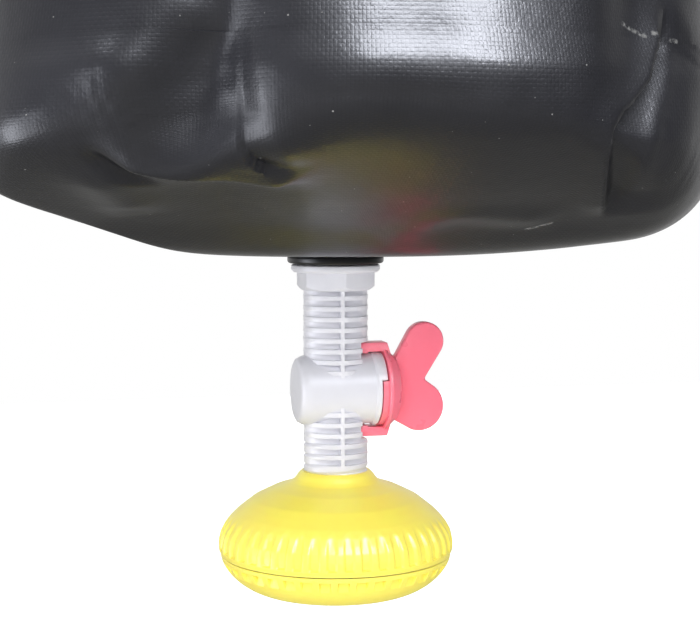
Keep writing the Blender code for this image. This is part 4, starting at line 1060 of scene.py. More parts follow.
@dataclass
class WaterBag:
    """The tube of coated cloth and the moulded-up base welded round its foot.

    Attributes:
        base_columns: Columns of the base in front and behind, and half of the front's degrees.
        tube_columns: The same for the tube.
        base_crumple: How fine its crumples are, how deep, and their seed.
        tube_crumple: The same for the tube.
    """

    folds: Folds
    base_columns: tuple = (230, 50, 70)
    tube_columns: tuple = (150, 70, 70)
    base_crumple: tuple = (20.0, 0.0003, 3.0)
    tube_crumple: tuple = (14.0, 0.0008, 9.0)
    cloth: float = 0.0008
    gap: float = 0.0003
    outlet: float = 0.0088
    washer_edge: float = 0.0125
    corner: float = 0.0840
    corner_rise: float = 0.0360
    bulge: float = 0.0045
    shoulder: float = 0.2300
    mouth_half: float = 0.0020
    standoff: float = 0.0026
    bend_soft: float = 0.010
    flattening: float = 1.5
    gathers: int = 9
    gather_depth: float = 0.0060
    slope_run: float = 0.155
    rim_passes: int = 24
    edge_width: float = 0.0065

    def sheet(self, name: str, table: Array, round_: Sequence[float], run: Sequence[float]) -> Item:
        """Cloth of its own thickness on a table of places.

        Args:
            name: The piece's name.
            table: Its outer side's places above the outlet, in rows and columns.
            round_: Metres round the bag at each column, for the weave.
            run: Metres up the cloth at each row.

        Returns:
            The new object, at its place on the bag.
        """

        def shape(column: Array, row: Array) -> Array:
            return table[row, column]

        obj = grid(name, len(round_) - 1, len(run) - 1, shape)
        stretch_uv(obj, round_, run)
        modify(obj, "SOLIDIFY", thickness=self.cloth, offset=-1.0)
        return smooth(shift(obj, z=OUTLET_LEVEL), 60)

    def cup_profile(self) -> list[tuple[float, float]]:
        """(radius, height) points of the base's outer side, from the outlet to its rim."""
        clear = self.cloth + self.gap
        wall = self.folds.wall + clear
        flat = np.linspace(self.washer_edge, self.folds.outlet_flat, 4)
        marks = [(self.outlet, 0.0)] + [(radius, 0.0) for radius in flat]
        for share in np.linspace(0, 1, 56)[1:]:
            radius = self.folds.outlet_flat + share * (self.corner - self.folds.outlet_flat)
            marks.append((radius, self.bulge * share**2))
        for share in np.linspace(0, 1, 34)[1:]:
            turn = share * math.pi / 2
            up = self.corner_rise - self.bulge
            across = (wall - self.corner) * math.sin(turn)
            marks.append((self.corner + across, self.corner_rise - up * math.cos(turn)))
        levels = np.linspace(self.corner_rise, self.folds.cup_rise, 22)[1:]
        return marks + [(wall, level) for level in levels]

    def creased(self, table: Array) -> Array:
        """A table of rows and columns of places with the photograph's creases in it."""
        normals = outward(table).reshape(-1, 3)
        spots = table.reshape(-1, 3)
        moved = spots + sum(crease.shift(spots, normals) for crease in CREASES)
        return moved.reshape(table.shape)

    def soft_edge(self, table: Array) -> Array:
        """Where the base's front edge is rounder than its outline makes it, from 0 to 1."""
        side, near = in_view(table)
        rise = ease((table[..., 2] - 0.018) / 0.008) * (1 - ease((table[..., 2] - 0.043) / 0.005))
        return rise * ease(near / 0.04) * ease((0.060 - side) / 0.018)

    def build_base(self) -> Item:
        """The base with its folds, its wall given the cloth's thickness."""
        turns = columns_round(*self.base_columns)
        marks = np.array(self.cup_profile())
        run = np.concatenate(([0], np.cumsum(np.hypot(*np.diff(marks, axis=0).T))))
        radius, angle = [part.ravel() for part in np.meshgrid(marks[:, 0], turns, indexing="ij")]
        height = np.repeat(marks[:, 1], len(turns))
        plain = np.minimum(radius, self.folds.wall)
        away = np.stack((np.cos(angle), np.sin(angle)), axis=1)
        spots = np.column_stack((away * plain[:, None], height))
        spots = self.folds.moved(spots, np.ones(len(spots)))
        loose = crumpled(spots, *self.base_crumple)
        under_hem = self.folds.cup_rise - self.folds.hem - height
        calm = ease((radius - 0.03) / 0.03) * ease(under_hem / 0.01)
        spots += (loose - spots) * calm[:, None]
        thin = 1 - 0.45 * ease((height - self.folds.cup_rise + 0.010) / 0.010)
        spots[:, :2] += away * ((radius - plain) * thin)[:, None]
        table = spots.reshape(len(marks), len(turns), 3)
        steady = ease((marks[1:-1, 1] - self.folds.cup_rise + 0.013) / 0.005)[:, None, None]
        for _ in range(self.rim_passes):
            middle = (table[:-2] + 2 * table[1:-1] + table[2:]) / 4
            table[1:-1] = middle + (table[1:-1] - middle) * steady
        table = self.creased(relaxed(table, self.edge_width, self.soft_edge(table)))

        return self.sheet("base_cloth", table, turns * self.folds.wall, run)

    def shoulder_points(self, turns: Array, share: Array) -> Array:
        """Places between the round tube at share 0 and the flat mouth at share 1."""
        turn = np.mod(turns, math.tau)
        facing = np.abs(np.cos(turn - VIEW_TURN + math.pi / 2))
        radius = self.folds.wall - self.folds.drawn(facing, np.full(len(turn), self.shoulder))
        low = np.stack((radius * np.cos(turn), radius * np.sin(turn)), axis=1)
        run = np.where(turn <= math.pi, turn, math.tau - turn) / math.pi
        half = ROLL.flat_half + ROLL.bend_radius * math.pi / 2
        distance = half * (1 - 2 * run)
        bent = ease((np.abs(distance) - ROLL.flat_half) / self.bend_soft)
        x, z = ROLL.station(distance, -ROLL.half_depth() - self.gap - self.standoff * bent)
        flat = np.abs(np.sin(turn))
        depth = self.mouth_half * np.sign(np.sin(turn)) * ease(flat / 0.15)
        mixed = (share**self.flattening)[:, None]
        level = low * (1 - mixed) + np.stack((x, depth), axis=1) * mixed
        height = self.shoulder * (1 - share) + (z + ROLL_LEVEL - OUTLET_LEVEL) * share
        pleat = np.maximum(0, -np.sin(self.gathers * turn))
        gather = self.gather_depth * pleat * flat * 4 * share * (1 - share)
        radius = np.maximum(np.hypot(level[:, 0], level[:, 1]), WELD)
        level = level * (1 - gather / radius)[:, None]
        return np.column_stack((level, height))

    def build_tube(self) -> Item:
        """The tube wall up to its mouth."""
        turns = columns_round(*self.tube_columns)
        foot = self.folds.cup_rise - self.folds.hem
        low, high = np.linspace(foot, self.folds.cup_rise, 5), np.linspace(0.060, self.shoulder, 60)
        levels = np.concatenate((low, high))
        shares = np.linspace(0, 1, 48)[1:]
        height, angle = [part.ravel() for part in np.meshgrid(levels, turns, indexing="ij")]
        radius = self.folds.wall
        spots = np.stack((radius * np.cos(angle), radius * np.sin(angle), height), axis=1)
        hold = 1 - ease((height - self.folds.cup_rise) / (self.shoulder - self.folds.cup_rise))
        spots = self.folds.moved(spots, hold)
        calm = ease((height - self.folds.cup_rise) / 0.03)
        spots += (crumpled(spots, *self.tube_crumple) - spots) * calm[:, None]
        lower = self.creased(spots.reshape(len(levels), len(turns), 3))
        share, angle = [part.ravel() for part in np.meshgrid(shares, turns, indexing="ij")]
        upper = self.shoulder_points(angle, share)
        upper += (crumpled(upper, *self.tube_crumple) - upper) * (1 - share)[:, None]
        table = np.concatenate((lower, upper.reshape(len(shares), len(turns), 3)))

        run = np.concatenate((levels, self.shoulder + shares * self.slope_run))
        return self.sheet("tube_cloth", table, turns * self.folds.wall, run)

    def build(self) -> None:
        """Makes and dresses both pieces."""
        cloth = replace(BLACK_CLOTH, scuffs_and_glints=SCUFFS_AND_GLINTS)
        settle(self.build_base(), "bag", "base_cup", cloth)
        settle(self.build_tube(), "bag", "bag_body", cloth)


@dataclass
class RolledMouth:
    """The mouth of the bag, wound flat and bent up into its hanging loop."""

    half_length: float = 0.1800
    flat_half: float = 0.0620
    bend_radius: float = 0.0400
    bend_turn: float = 118.0
    ply: float = 0.0017
    ply_gap: float = 0.00035
    half_turns: int = 4
    core: float = 0.0019
    cap_centre: float = 0.0100
    strap_run: float = 0.0120
    strap_bend: float = 0.0250

    def half_depth(self) -> float:
        """Half of the roll's thickness."""
        return self.core + (self.ply + self.ply_gap) * self.half_turns / 2 + self.ply / 2

    def path(self, distance: Array) -> tuple[Array, Array, Array]:
        """Place (x, z) and heading on the right half of the closed loop."""
        turn = math.radians(self.bend_turn)
        bend = self.bend_radius * turn
        lengths = [self.flat_half, bend, self.half_length - self.flat_half - bend + self.strap_run]
        lengths += [self.strap_bend * (math.pi - turn), 0.2]
        marks = np.concatenate(([0], np.cumsum(lengths)))
        fine = np.linspace(0, marks[-1], 4001)
        heading = np.interp(fine, marks, [0, 0, turn, turn, math.pi, math.pi])
        step = fine[1]
        middle = (heading[1:] + heading[:-1]) / 2
        x = np.concatenate(([0], np.cumsum(np.cos(middle)) * step))
        z = np.concatenate(([0], np.cumsum(np.sin(middle)) * step))
        return tuple(np.interp(distance, fine, values) for values in (x, z, heading))

    def station(self, distance: Array, inward: Union[float, Array] = 0.0) -> tuple[Array, Array]:
        """(x, z) at a signed distance along the roll, moved towards its hollow side."""
        x, z, heading = self.path(np.abs(distance))
        side = np.where(np.asarray(distance) >= 0, 1, -1)
        return side * (x - inward * np.sin(heading)), z + inward * np.cos(heading)

    def section(self) -> Array:
        """(across, inward) points of the wound ply, all round it."""
        line = []
        steps = 12
        for half_turn in range(self.half_turns):
            centre = self.cap_centre if half_turn % 2 else -self.cap_centre
            for i in range(steps + 1):
                turn = math.pi * (half_turn + i / steps)
                radius = self.core + (self.ply + self.ply_gap) * turn / math.tau
                line.append((centre - radius * math.sin(turn), -radius * math.cos(turn)))
        line.append((-0.0020, line[-1][1]))
        return np.array(beside(line, self.ply / 2) + beside(line, -self.ply / 2)[::-1])

    def build(self) -> None:
        """Winds the ply, with a little slackness along its length."""
        section = self.section()
        section = np.vstack((section, section[:1]))
        stations = np.linspace(-self.half_length, self.half_length, 150)

        def shape(column: Array, row: Array) -> Array:
            distance = stations[row]
            slack = 0.0005 * np.sin(distance * 260) * np.cos(distance * 97 + 1)
            inward = section[column, 1] * (1 - 0.03 * (1 + np.sin(distance * 170)))
            x, z = self.station(distance, inward)
            return np.stack((x, section[column, 0] + slack, z), axis=1)

        obj = grid("wound_mouth", len(section) - 1, len(stations) - 1, shape, cap=True)
        run = np.concatenate(([0], np.cumsum(np.hypot(*np.diff(section, axis=0).T))))
        stretch_uv(obj, run, stations)
        smooth(shift(obj, z=ROLL_LEVEL), 50)
        settle(obj, "bag", "rolled_mouth", BLACK_CLOTH)


ROLL = RolledMouth()


@dataclass
class HangingLoop:
    """The two webbing straps that join the roll's ends to the buckle."""

    width: float = 0.0200
    thickness: float = 0.0015
    gap: float = 0.0003
    bar_centre: float = 0.0261
    bar_width: float = 0.0024
    bar_thickness: float = 0.0034
    tail: float = 0.0140
    strip_short: float = 0.0200

    def line(self) -> list[tuple[float, float]]:
        """(x, z) points of the right strap's middle, from the roll's core round its bar."""
        start = ROLL.half_length - self.strip_short + self.gap
        bend_start = ROLL.half_length + ROLL.strap_run
        bend_end = bend_start + ROLL.strap_bend * math.radians(180 - ROLL.bend_turn)
        straight, bend = np.linspace(start, bend_start, 16), np.linspace(bend_start, bend_end, 14)
        x, z, _ = ROLL.path(np.concatenate((straight, bend[1:])))
        line = list(zip(x, z))
        top = line[-1][1]
        lift = self.bar_thickness / 2 + self.gap + self.thickness / 2
        reach = self.bar_width / 2 + self.gap + self.thickness / 2
        easy = 2 * lift
        first = (self.bar_centre + reach + easy, top)
        last = (self.bar_centre + self.bar_width / 2, top + lift)
        line += [(x, top) for x in np.linspace(line[-1][0], first[0], 8)[1:]]
        for share in np.linspace(0, 1, 9)[1:]:
            level = float(ease(np.array(share)))
            line.append((first[0] + share * (last[0] - first[0]), first[1] + level * lift))
        hug = self.gap + self.thickness / 2
        left = self.bar_centre - self.bar_width / 2
        line += arc((left, top + self.bar_thickness / 2), hug, 90, 180, 6)
        line += arc((left, top - self.bar_thickness / 2), hug, 180, 270, 6)
        line.append((last[0], top - lift))
        under = self.thickness + self.gap
        for share in np.linspace(0, 1, 9)[1:]:
            level = float(ease(np.array(share)))
            x = last[0] + share * (first[0] - last[0])
            line.append((x, top - lift + level * (lift - under)))
        line.append((self.bar_centre + reach + self.tail, top - under))
        return line

    def build_strap(self, name: str, side: int) -> Item:
        """One strap as a strip of cloth with its own thickness."""
        line = np.array(self.line())
        run = np.concatenate(([0], np.cumsum(np.hypot(*np.diff(line, axis=0).T))))
        across = np.linspace(-self.width / 2, self.width / 2, 13)

        def shape(column: Array, row: Array) -> Array:
            return np.stack((side * line[row, 0], across[column], line[row, 1]), axis=1)

        obj = grid(name, len(across) - 1, len(line) - 1, shape)
        stretch_uv(obj, across, run)
        modify(obj, "SOLIDIFY", thickness=self.thickness, offset=0.0, use_even_offset=True)
        soften(obj, 0.0004, 2, 60)
        return smooth(shift(obj, z=ROLL_LEVEL), 50)

    def build(self) -> None:
        """Makes and dresses the two straps."""
        for name, side in (("strap_right", 1), ("strap_left", -1)):
            settle(self.build_strap(name + "_webbing", side), "bag", name, BLACK_WEBBING)


# The valve


@dataclass
class TapValve:
    """The pale moulding that screws through the base: flange, hexagon, finned pipe, barrel."""

    pipe: float = 0.00966
    core: float = 0.0073
    rib_half: float = 0.00055
    pipe_end: float = 0.0770
    fin_gap: float = 0.00185
    fin_pitch: float = 0.00317
    upper_start: float = 0.01023
    upper_count: int = 10
    lower_start: float = 0.0448
    lower_count: int = 6
    hex_foot: float = 0.0107
    hex_top: float = 0.0053
    flange_top: float = 0.0030
    flange_radius: float = 0.0133
    flats: float = 0.0209
    hex_turn: float = 32.0
    tail_radius: float = 0.0085
    tail_top: float = 0.0125
    barrel_radius: float = 0.0106
    barrel_left: float = 0.0125
    rim_radius: float = 0.0111
    rim_start: float = 0.0106
    rim_end: float = 0.0119
    stop_length: float = 0.0017
    stop_inner: float = 0.0087
    bore: float = 0.0083
    sweep: tuple = (0.0066, 0.0153)
    barrel_drop: float = 0.0407
    thread_start: float = 0.0535
    thread_step: float = 0.0004
    thread_depth: float = 0.0007
    thread_width: float = 0.55
    thread_lead: float = 0.002

    def angles(self) -> Array:
        """Angles round the pipe from its front, with steps at both sides of each rib."""
        edge = math.asin(self.rib_half / self.pipe)
        side = np.linspace(edge, math.pi - edge, 34)[1:-1]
        half = np.concatenate(([edge] * 2, side, [math.pi - edge] * 2))
        return np.concatenate((half, half + math.pi, half[:1] + math.tau))

    def build_pipe(self) -> Item:
        """The pipe with its gaps sunk to an oval core between the two ribs."""
        turns = self.angles()
        count = (len(turns) - 1) // 2
        starts = [self.upper_start + self.fin_pitch * i for i in range(self.upper_count)]
        starts += [self.lower_start + self.fin_pitch * i for i in range(self.lower_count)]
        levels, sunk = [self.hex_foot - 0.001], [False]
        for start in starts:
            levels += [start, start, start + self.fin_gap, start + self.fin_gap]
            sunk += [False, True, True, False]
        levels.append(self.pipe_end)
        sunk.append(False)
        for end in reversed(range(1, len(levels))):
            room = levels[end] - levels[end - 1]
            if levels[end - 1] > self.thread_start and room > self.thread_step:
                steps = math.ceil(room / self.thread_step)
                between = np.linspace(levels[end - 1], levels[end], steps + 1)[1:-1]
                levels[end:end] = list(between)
                sunk[end:end] = [sunk[end]] * len(between)
        levels, sunk = np.array(levels), np.array(sunk)

        def shape(column: Array, row: Array) -> Array:
            turn = turns[column]
            rib = np.isin(column % count, (0, count - 1)) | (column % count == 0)
            low = sunk[row] & ~rib
            share = np.mod(levels[row] / self.fin_pitch + turn / math.tau, 1.0)
            notch = np.maximum(0, np.cos((share - 0.5) * math.pi / self.thread_width))
            notch *= ease((levels[row] - self.thread_start) / self.thread_lead)
            bare = levels[row] > starts[-1] + self.fin_pitch
            beside_fins = ease((np.abs(np.sin(turn)) - 0.45) / 0.3)
            notch *= self.thread_depth * np.where(bare, 1.0, beside_fins)
            reach = self.pipe - np.where(low, 0, notch)
            depth = np.where(low, self.core, reach)
            return np.stack((reach * np.sin(turn), -depth * np.cos(turn), -levels[row]), axis=1)

        return grid("valve_pipe", len(turns) - 1, len(levels) - 1, shape, cap=True)

    def build(self) -> None:
        """Makes the moulding and dresses it."""
        pipe = self.build_pipe()
        near, far = self.sweep
        sweep = [(self.barrel_radius, near), (far, near), (far, far), (self.barrel_radius, far)]
        room = shift(turned("hook_sweep", sweep, 48, Axis.X, ring=True), z=-self.barrel_drop)
        cut(pipe, room)
        soften(pipe, 0.00018, 2, 50)
        barrel = turned(
            "barrel",
            [
                (0.0022, -self.barrel_left),
                (0.0068, -self.barrel_left + 0.0001),
                (0.0088, -self.barrel_left + 0.0003),
                (0.0095, -self.barrel_left + 0.0007),
                (0.0101, -self.barrel_left + 0.0018),
                (0.0105, -self.barrel_left + 0.0030),
                (self.barrel_radius, -self.barrel_left + 0.0042),
                (self.barrel_radius, self.rim_start - 0.0003),
                (self.rim_radius - 0.0002, self.rim_start),
                (self.rim_radius, self.rim_start + 0.0003),
                (self.rim_radius, self.rim_end - 0.0002),
                (self.rim_radius - 0.0002, self.rim_end),
                (self.bore, self.rim_end),
                (self.bore, self.rim_start - 0.004),
            ],
            72,
            Axis.X,
        )
        parts = [pipe, shift(barrel, z=-self.barrel_drop), self.build_stop()]
        flange = [
            (self.flange_radius - 0.0006, -self.flange_top),
            (self.flange_radius - 0.0001, -self.flange_top - 0.0003),
            (self.flange_radius, -self.flange_top - 0.0006),
            (self.flange_radius, -self.hex_top + 0.0009),
            (self.flange_radius - 0.0002, -self.hex_top + 0.0005),
            (self.flange_radius - 0.0008, -self.hex_top),
        ]
        parts.append(turned("flange", flange, 72))
        parts.append(self.build_hexagon())
        tail = [
            (self.tail_radius - 0.0006, self.tail_top),
            (self.tail_radius, self.tail_top - 0.0008),
            (self.tail_radius, -self.hex_top),
        ]
        parts.append(turned("tail", tail, 56))
        body = joined(parts)
        body.name = "valve_moulding"
        shift(smooth(body, 35), z=OUTLET_LEVEL)
        settle(body, "bag", "valve_body", PALE_PLASTIC)

    def build_stop(self) -> Item:
        """The quarter of a collar that the key's skirt turns against."""
        outline = arc((0, 0), self.rim_radius, STOP_TURN, STOP_TURN - 90, 14)
        outline += arc((0, 0), self.stop_inner, STOP_TURN - 90, STOP_TURN, 14)
        start, end = self.rim_end - 0.0005, self.rim_end + self.stop_length
        stop = drawn_out("stop", outline, start, end, Axis.X)
        return shift(soften(stop, 0.0002, 2), z=-self.barrel_drop)

    def build_hexagon(self) -> Item:
        """The spanner flats, with their lower corners cut by a cone."""
        corner = self.flats / 2 / math.cos(math.pi / 6)
        turns = [math.radians(self.hex_turn + 60 * i) for i in range(6)]
        outline = [(corner * math.cos(a), corner * math.sin(a)) for a in turns]
        obj = drawn_out("hexagon", outline, -self.hex_foot, -self.hex_top + 0.0004, Axis.Z)
        cone = [
            (corner - 0.0020, -self.hex_foot - WELD),
            (corner + 0.001, -self.hex_foot + 0.0020),
            (0.013, 0.0),
        ]
        cut(obj, turned("cone", cone, 96), "INTERSECT")
        return soften(obj, 0.0002, 2, 25)


@dataclass
class Washer:
    """The black rubber washer between the base and the valve's flange."""

    hole: float = 0.0088
    radius: float = 0.0144
    top: float = 0.0003
    thickness: float = 0.0024
    rim: float = 0.0009

    def build(self) -> None:
        """Turns the washer with its rounded edge."""
        low, high = -self.top - self.thickness, -self.top
        edge = arc((self.radius - self.rim, low + self.rim), self.rim, -90, 0, 6)
        edge += arc((self.radius - self.rim, high - self.rim), self.rim, 0, 90, 6)
        section = [(self.hole, low)] + edge + [(self.hole, high)]
        obj = turned("outlet_washer", section, 96, ring=True)
        shift(smooth(obj), z=OUTLET_LEVEL)
        settle(obj, "bag", "outer_gasket", BLACK_RUBBER)


@dataclass
class TapKey:
    """The pink-red key: plug, cap with its skirt, snap hooks and the two-lobed grip."""

    cap_start: float = 0.0139
    cap_rim: float = 0.0013
    cap_end: float = 0.0181
    cap_radius: float = 0.0124
    face_radius: float = 0.0094
    plug: float = 0.0080
    skirt_inner: float = 0.0087
    skirt_outer: float = 0.0111
    skirt_start: float = 0.0122
    skirt_ease: float = 2.0
    hook_start: float = 0.0069
    hook_outer: float = 0.0141
    hook_half: float = 0.0034
    hook_inner: float = 0.0114
    barb: float = 0.0109
    wing_half: float = 0.0022

    def wing(self) -> list[tuple[float, float]]:
        """(x, z) outline of the grip: a long upper lobe, a round lower one, a notch."""
        root = self.cap_start + self.cap_rim - 0.0005
        outline = [(root, -0.0099), (self.cap_end, -0.0099)]
        outline += arc((0.0258, -0.0057), 0.0075, -112, 58, 26)
        outline.append((0.0272, 0.0025))
        outline += arc((0.0274, 0.0140), 0.0059, -30, 151, 26)
        return outline + [(self.cap_end, 0.0094), (root, 0.0094)]

    def build(self) -> None:
        """Makes the key and hangs it on its own body."""
        rim = self.cap_radius
        cap = turned(
            "tap_grip",
            [
                (self.plug, -0.0087),
                (self.plug, self.cap_start),
                (rim - 0.0003, self.cap_start),
                (rim, self.cap_start + 0.0003),
                (rim, self.cap_start + self.cap_rim - 0.0004),
                (rim - 0.0003, self.cap_start + self.cap_rim),
                (self.face_radius + 0.0003, self.cap_end - 0.0003),
                (self.face_radius - 0.0004, self.cap_end),
            ],
            72,
            Axis.X,
        )
        grip = drawn_out("grip", self.wing(), -self.wing_half, self.wing_half)
        parts = [cap, soften(grip, 0.0008, 3, 50)]
        for side in (1, -1):
            outline = [
                (self.cap_start + self.cap_rim, side * self.hook_inner),
                (self.hook_start + 0.0024, side * self.hook_inner),
                (self.hook_start + 0.0024, side * self.barb),
                (self.hook_start + 0.0008, side * self.barb),
                (self.hook_start, side * (self.hook_inner + 0.0004)),
                (self.hook_start, side * (self.hook_outer - 0.0008)),
                (self.hook_start + 0.0008, side * self.hook_outer),
                (self.cap_start + self.cap_rim, side * self.hook_outer),
                (self.cap_end - 0.0014, side * self.face_radius),
                (self.cap_start + self.cap_rim - 0.0005, side * self.face_radius),
            ]
            hook = drawn_out(f"hook{side}", outline, -self.hook_half, self.hook_half)
            parts.append(soften(hook, 0.0004, 2, 30))
        parts.append(self.build_skirt())
        key = joined(parts)
        shift(smooth(key, 35), z=BARREL_LEVEL)
        settle(key, "key", "tap_key", RED_PLASTIC)

    def build_skirt(self) -> Item:
        """The half collar behind the cap that meets the valve's stop."""
        first, last = STOP_TURN + self.skirt_ease, STOP_TURN + 180 - self.skirt_ease
        outline = arc((0, 0), self.skirt_outer, first, last, 40)
        outline += arc((0, 0), self.skirt_inner, last, first, 40)
        return drawn_out("skirt", outline, self.skirt_start, self.cap_start + 0.001, Axis.X)


# The shower head


@dataclass
class HeadDome:
    """The upper yellow shell, with a ribbed grip round its widest part."""

    radius: float = 0.0353
    seam_depth: float = 0.0899
    seam_radius: float = 0.0347
    flutes: int = 44
    turn: float = 5.66
    flute_depth: float = 0.0007
    flute_top: float = 0.0776
    flute_foot: float = 0.0883
    flute_round: float = 0.0016
    flute_lead: float = 0.0042
    rib_share: float = 0.30
    rib_soft: float = 0.34
    facets: int = 16

    def profile(self) -> list[tuple[float, float]]:
        """(radius, depth) points from the collar's top to the lip at the seam."""
        measured = [
            (0.0103, 0.06515), (0.0106, 0.0654), (0.0113, 0.0660), (0.0122, 0.06735),
            (0.0132, 0.06835), (0.0157, 0.06935), (0.0189, 0.07035), (0.0210, 0.07135),
            (0.0250, 0.07335), (0.0276, 0.07535), (0.0301, 0.07735), (0.0321, 0.07935),
            (0.0336, 0.08135), (0.0347, 0.08335), (0.0353, 0.08585), (0.0353, 0.0883),
            (0.0352, 0.0888), (0.03495, 0.0892), (0.0347, self.seam_depth),
        ]
        radii, depths = zip(*measured)
        run = np.concatenate(([0], np.cumsum(np.hypot(np.diff(radii), np.diff(depths)))))
        marks = np.concatenate((run, np.linspace(0, run[-1], 70)))
        marks = np.unique(np.round(marks, 5))
        return list(zip(np.interp(marks, run, radii), np.interp(marks, run, depths)))

    def build(self) -> None:
        """Lays the shell over its profile, with a pocket between each two ribs."""
        marks = np.array(self.profile())
        for _ in range(2):
            inner = (marks[:-2] + 2 * marks[1:-1] + marks[2:]) / 4
            keep = marks[1:-1, 1] < self.flute_foot - 0.001
            marks[1:-1][keep] = inner[keep]
        count = self.flutes * self.facets
        inside = [(self.seam_radius - 0.0022, self.seam_depth), (0.0300, 0.0840), (0.0125, 0.0800)]
        rows = np.vstack((marks, inside))

        def shape(column: Array, row: Array) -> Array:
            turn = math.tau * column / count + math.radians(self.turn)
            radius, depth = rows[row, 0], rows[row, 1]
            share = np.mod(column / self.facets, 1.0)
            off = 1 - np.abs(share - 0.5) * 2
            pocket = ease((off - self.rib_share) / self.rib_soft)
            start = self.flute_top + self.flute_round * (1 - ease(off))
            reach = ease((depth - start) / self.flute_lead)
            lens = np.where(depth < self.flute_foot - 0.0001, reach, 0.0)
            lens *= ease((self.flute_foot - depth) / 0.0006 + 0.2)
            lens = np.where(row < len(marks), lens, 0.0)
            out = radius - self.flute_depth * pocket * lens
            return np.stack((out * np.cos(turn), out * np.sin(turn), -depth), axis=1)

        obj = grid("head_shell", count, len(rows) - 1, shape, cap=True)
        shift(smooth(obj, 35), z=OUTLET_LEVEL)
        settle(obj, "head", "head_dome", YELLOW_PLASTIC)


@dataclass
class RoseCap:
    """The lower yellow shell: a ring of cells, a rounded side and the drilled face."""

    top: float = 0.0902
    depth: float = 0.1010
    seam_radius: float = 0.0347
    face_radius: float = 0.0220
    power: float = 1.6
    bulge: float = 0.0008
    cells: int = 40
    turn: float = 2.83
    cell_top: float = 0.0014
    cell_height: float = 0.0045
    cell_soft: float = 0.05
    floor: float = 0.0328
    web: float = 0.34
    jet_step: float = 0.0060
    jet_rings: int = 3
    jet_radius: float = 0.0006
    face_thickness: float = 0.0018
    cell_columns: tuple = (
        0, 0.06, 0.17, 0.28, 0.34, 0.365, 0.40, 0.45, 0.55, 0.67, 0.79, 0.89, 0.94, 0.975,
    )

    def side_radius(self, depth: Array) -> Array:
        """The outer radius at a depth."""
        down = np.clip((depth - self.top) / (self.depth - self.top), 0, 1)
        across = (1 - down**self.power) ** (1 / self.power)
        return self.face_radius + (self.seam_radius - self.face_radius) * across

    def build_side(self) -> Item:
        """The rounded side with its cells sunk to an upright floor."""
        shares = self.cell_columns
        count = len(shares) * self.cells
        start, foot = self.top + self.cell_top, self.top + self.cell_top + self.cell_height
        levels = [self.top, self.top + 0.0003, self.top + 0.0008]
        levels += [start - 0.0001, start, start + 0.0002]
        levels += list(np.linspace(start + 0.0006, foot - 0.0002, 9)) + [foot, foot + 0.0001]
        left = 1 - np.linspace(0.06, 1, 20)
        levels = np.array(levels + list(self.depth - (self.depth - foot) * left**2))

        def shape(column: Array, row: Array) -> Array:
            cell, part = column // len(shares), column % len(shares)
            share = np.array(shares)[part]
            turn = math.tau * (cell + share) / self.cells + math.radians(self.turn)
            radius = self.side_radius(levels[row])
            radius = np.where(row == 0, radius - 0.0003, radius)
            hollow = ease((share - self.web) / self.cell_soft)
            hollow *= ease((1 - share) / self.cell_soft)
            deep = (levels[row] >= start) & (levels[row] <= foot)
            low = np.minimum(radius, self.floor)
            out = np.where(deep, radius + (low - radius) * hollow, radius)
            return np.stack((out * np.cos(turn), out * np.sin(turn), -levels[row]), axis=1)

        return grid("rose_side", count, len(levels) - 1, shape)

    def build_face(self) -> Item:
        """The spray face, with a small raised nipple round each hole."""
        rings = [(self.face_radius, -self.depth)]
        for share in (0.8, 0.55, 0.3, 0.08):
            rings.append((self.face_radius * share, -self.depth - self.bulge * (1 - share**2)))
        back = -self.depth + self.face_thickness
        rings += [(0.0016, back), (self.face_radius, back)]
        face = turned("rose_face", rings, 96)
        jets = []
        for ring in range(self.jet_rings + 1):
            away, count = self.jet_step * ring, 6 * ring or 1
            level = -self.depth - self.bulge * (1 - (ring / 3.7) ** 2)
            for number in range(count):
                turn = math.tau * number / count
                jet = turned(f"jet{ring}_{number}", self.nipple(), 14)
                jets.append(shift(jet, away * math.cos(turn), away * math.sin(turn), level))
        return joined([face] + jets)

    def nipple(self) -> list[tuple[float, float]]:
        """(radius, height) points of one spray hole and the lip round it."""
        lip = ((0.0007, 0.0004), (0.0006, -0.0001), (0.0002, -0.0003), (0, -0.0002), (0, 0.0008))
        return [(self.jet_radius + away, height) for away, height in lip]

    def build(self) -> None:
        """Makes the cap and dresses it."""
        side = self.build_side()
        obj = joined([side, self.build_face()])
        obj.name = "rose_shell"
        shift(smooth(obj, 35), z=OUTLET_LEVEL)
        settle(obj, "rose", "rose_cap", YELLOW_PLASTIC)


# The frame's own pieces, the studio and the camera


@dataclass
class KeptPieces:
    """The CAD solids whose own shape stays, each with a better finish."""

    def build(self) -> None:
        """Dresses the buckle, the strip in the hem, the nut and the seals."""
        finishes = {
            BLACK_PLASTIC: ("buckle_socket", "buckle_plug", "prong_front", "prong_back"),
            HEM_PLASTIC: ("stiffener_strip",),
            PALE_PLASTIC: ("inner_nut",),
            BLACK_RUBBER: (
                "inner_gasket", "oring_blind_end", "oring_key_end", "head_gasket", "rose_seal",
            ),
        }
        for finish, names in finishes.items():
            for name in names:
                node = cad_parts[name]
                node.data.materials.clear()
                node.data.materials.append(finish.material(name + "_finish"))
                LOG.info("%s: kept, with a new finish", name)


DAYLIGHT = (1.0, 1.0, 1.0)
SKYLIGHT = (0.88, 0.91, 1.0)


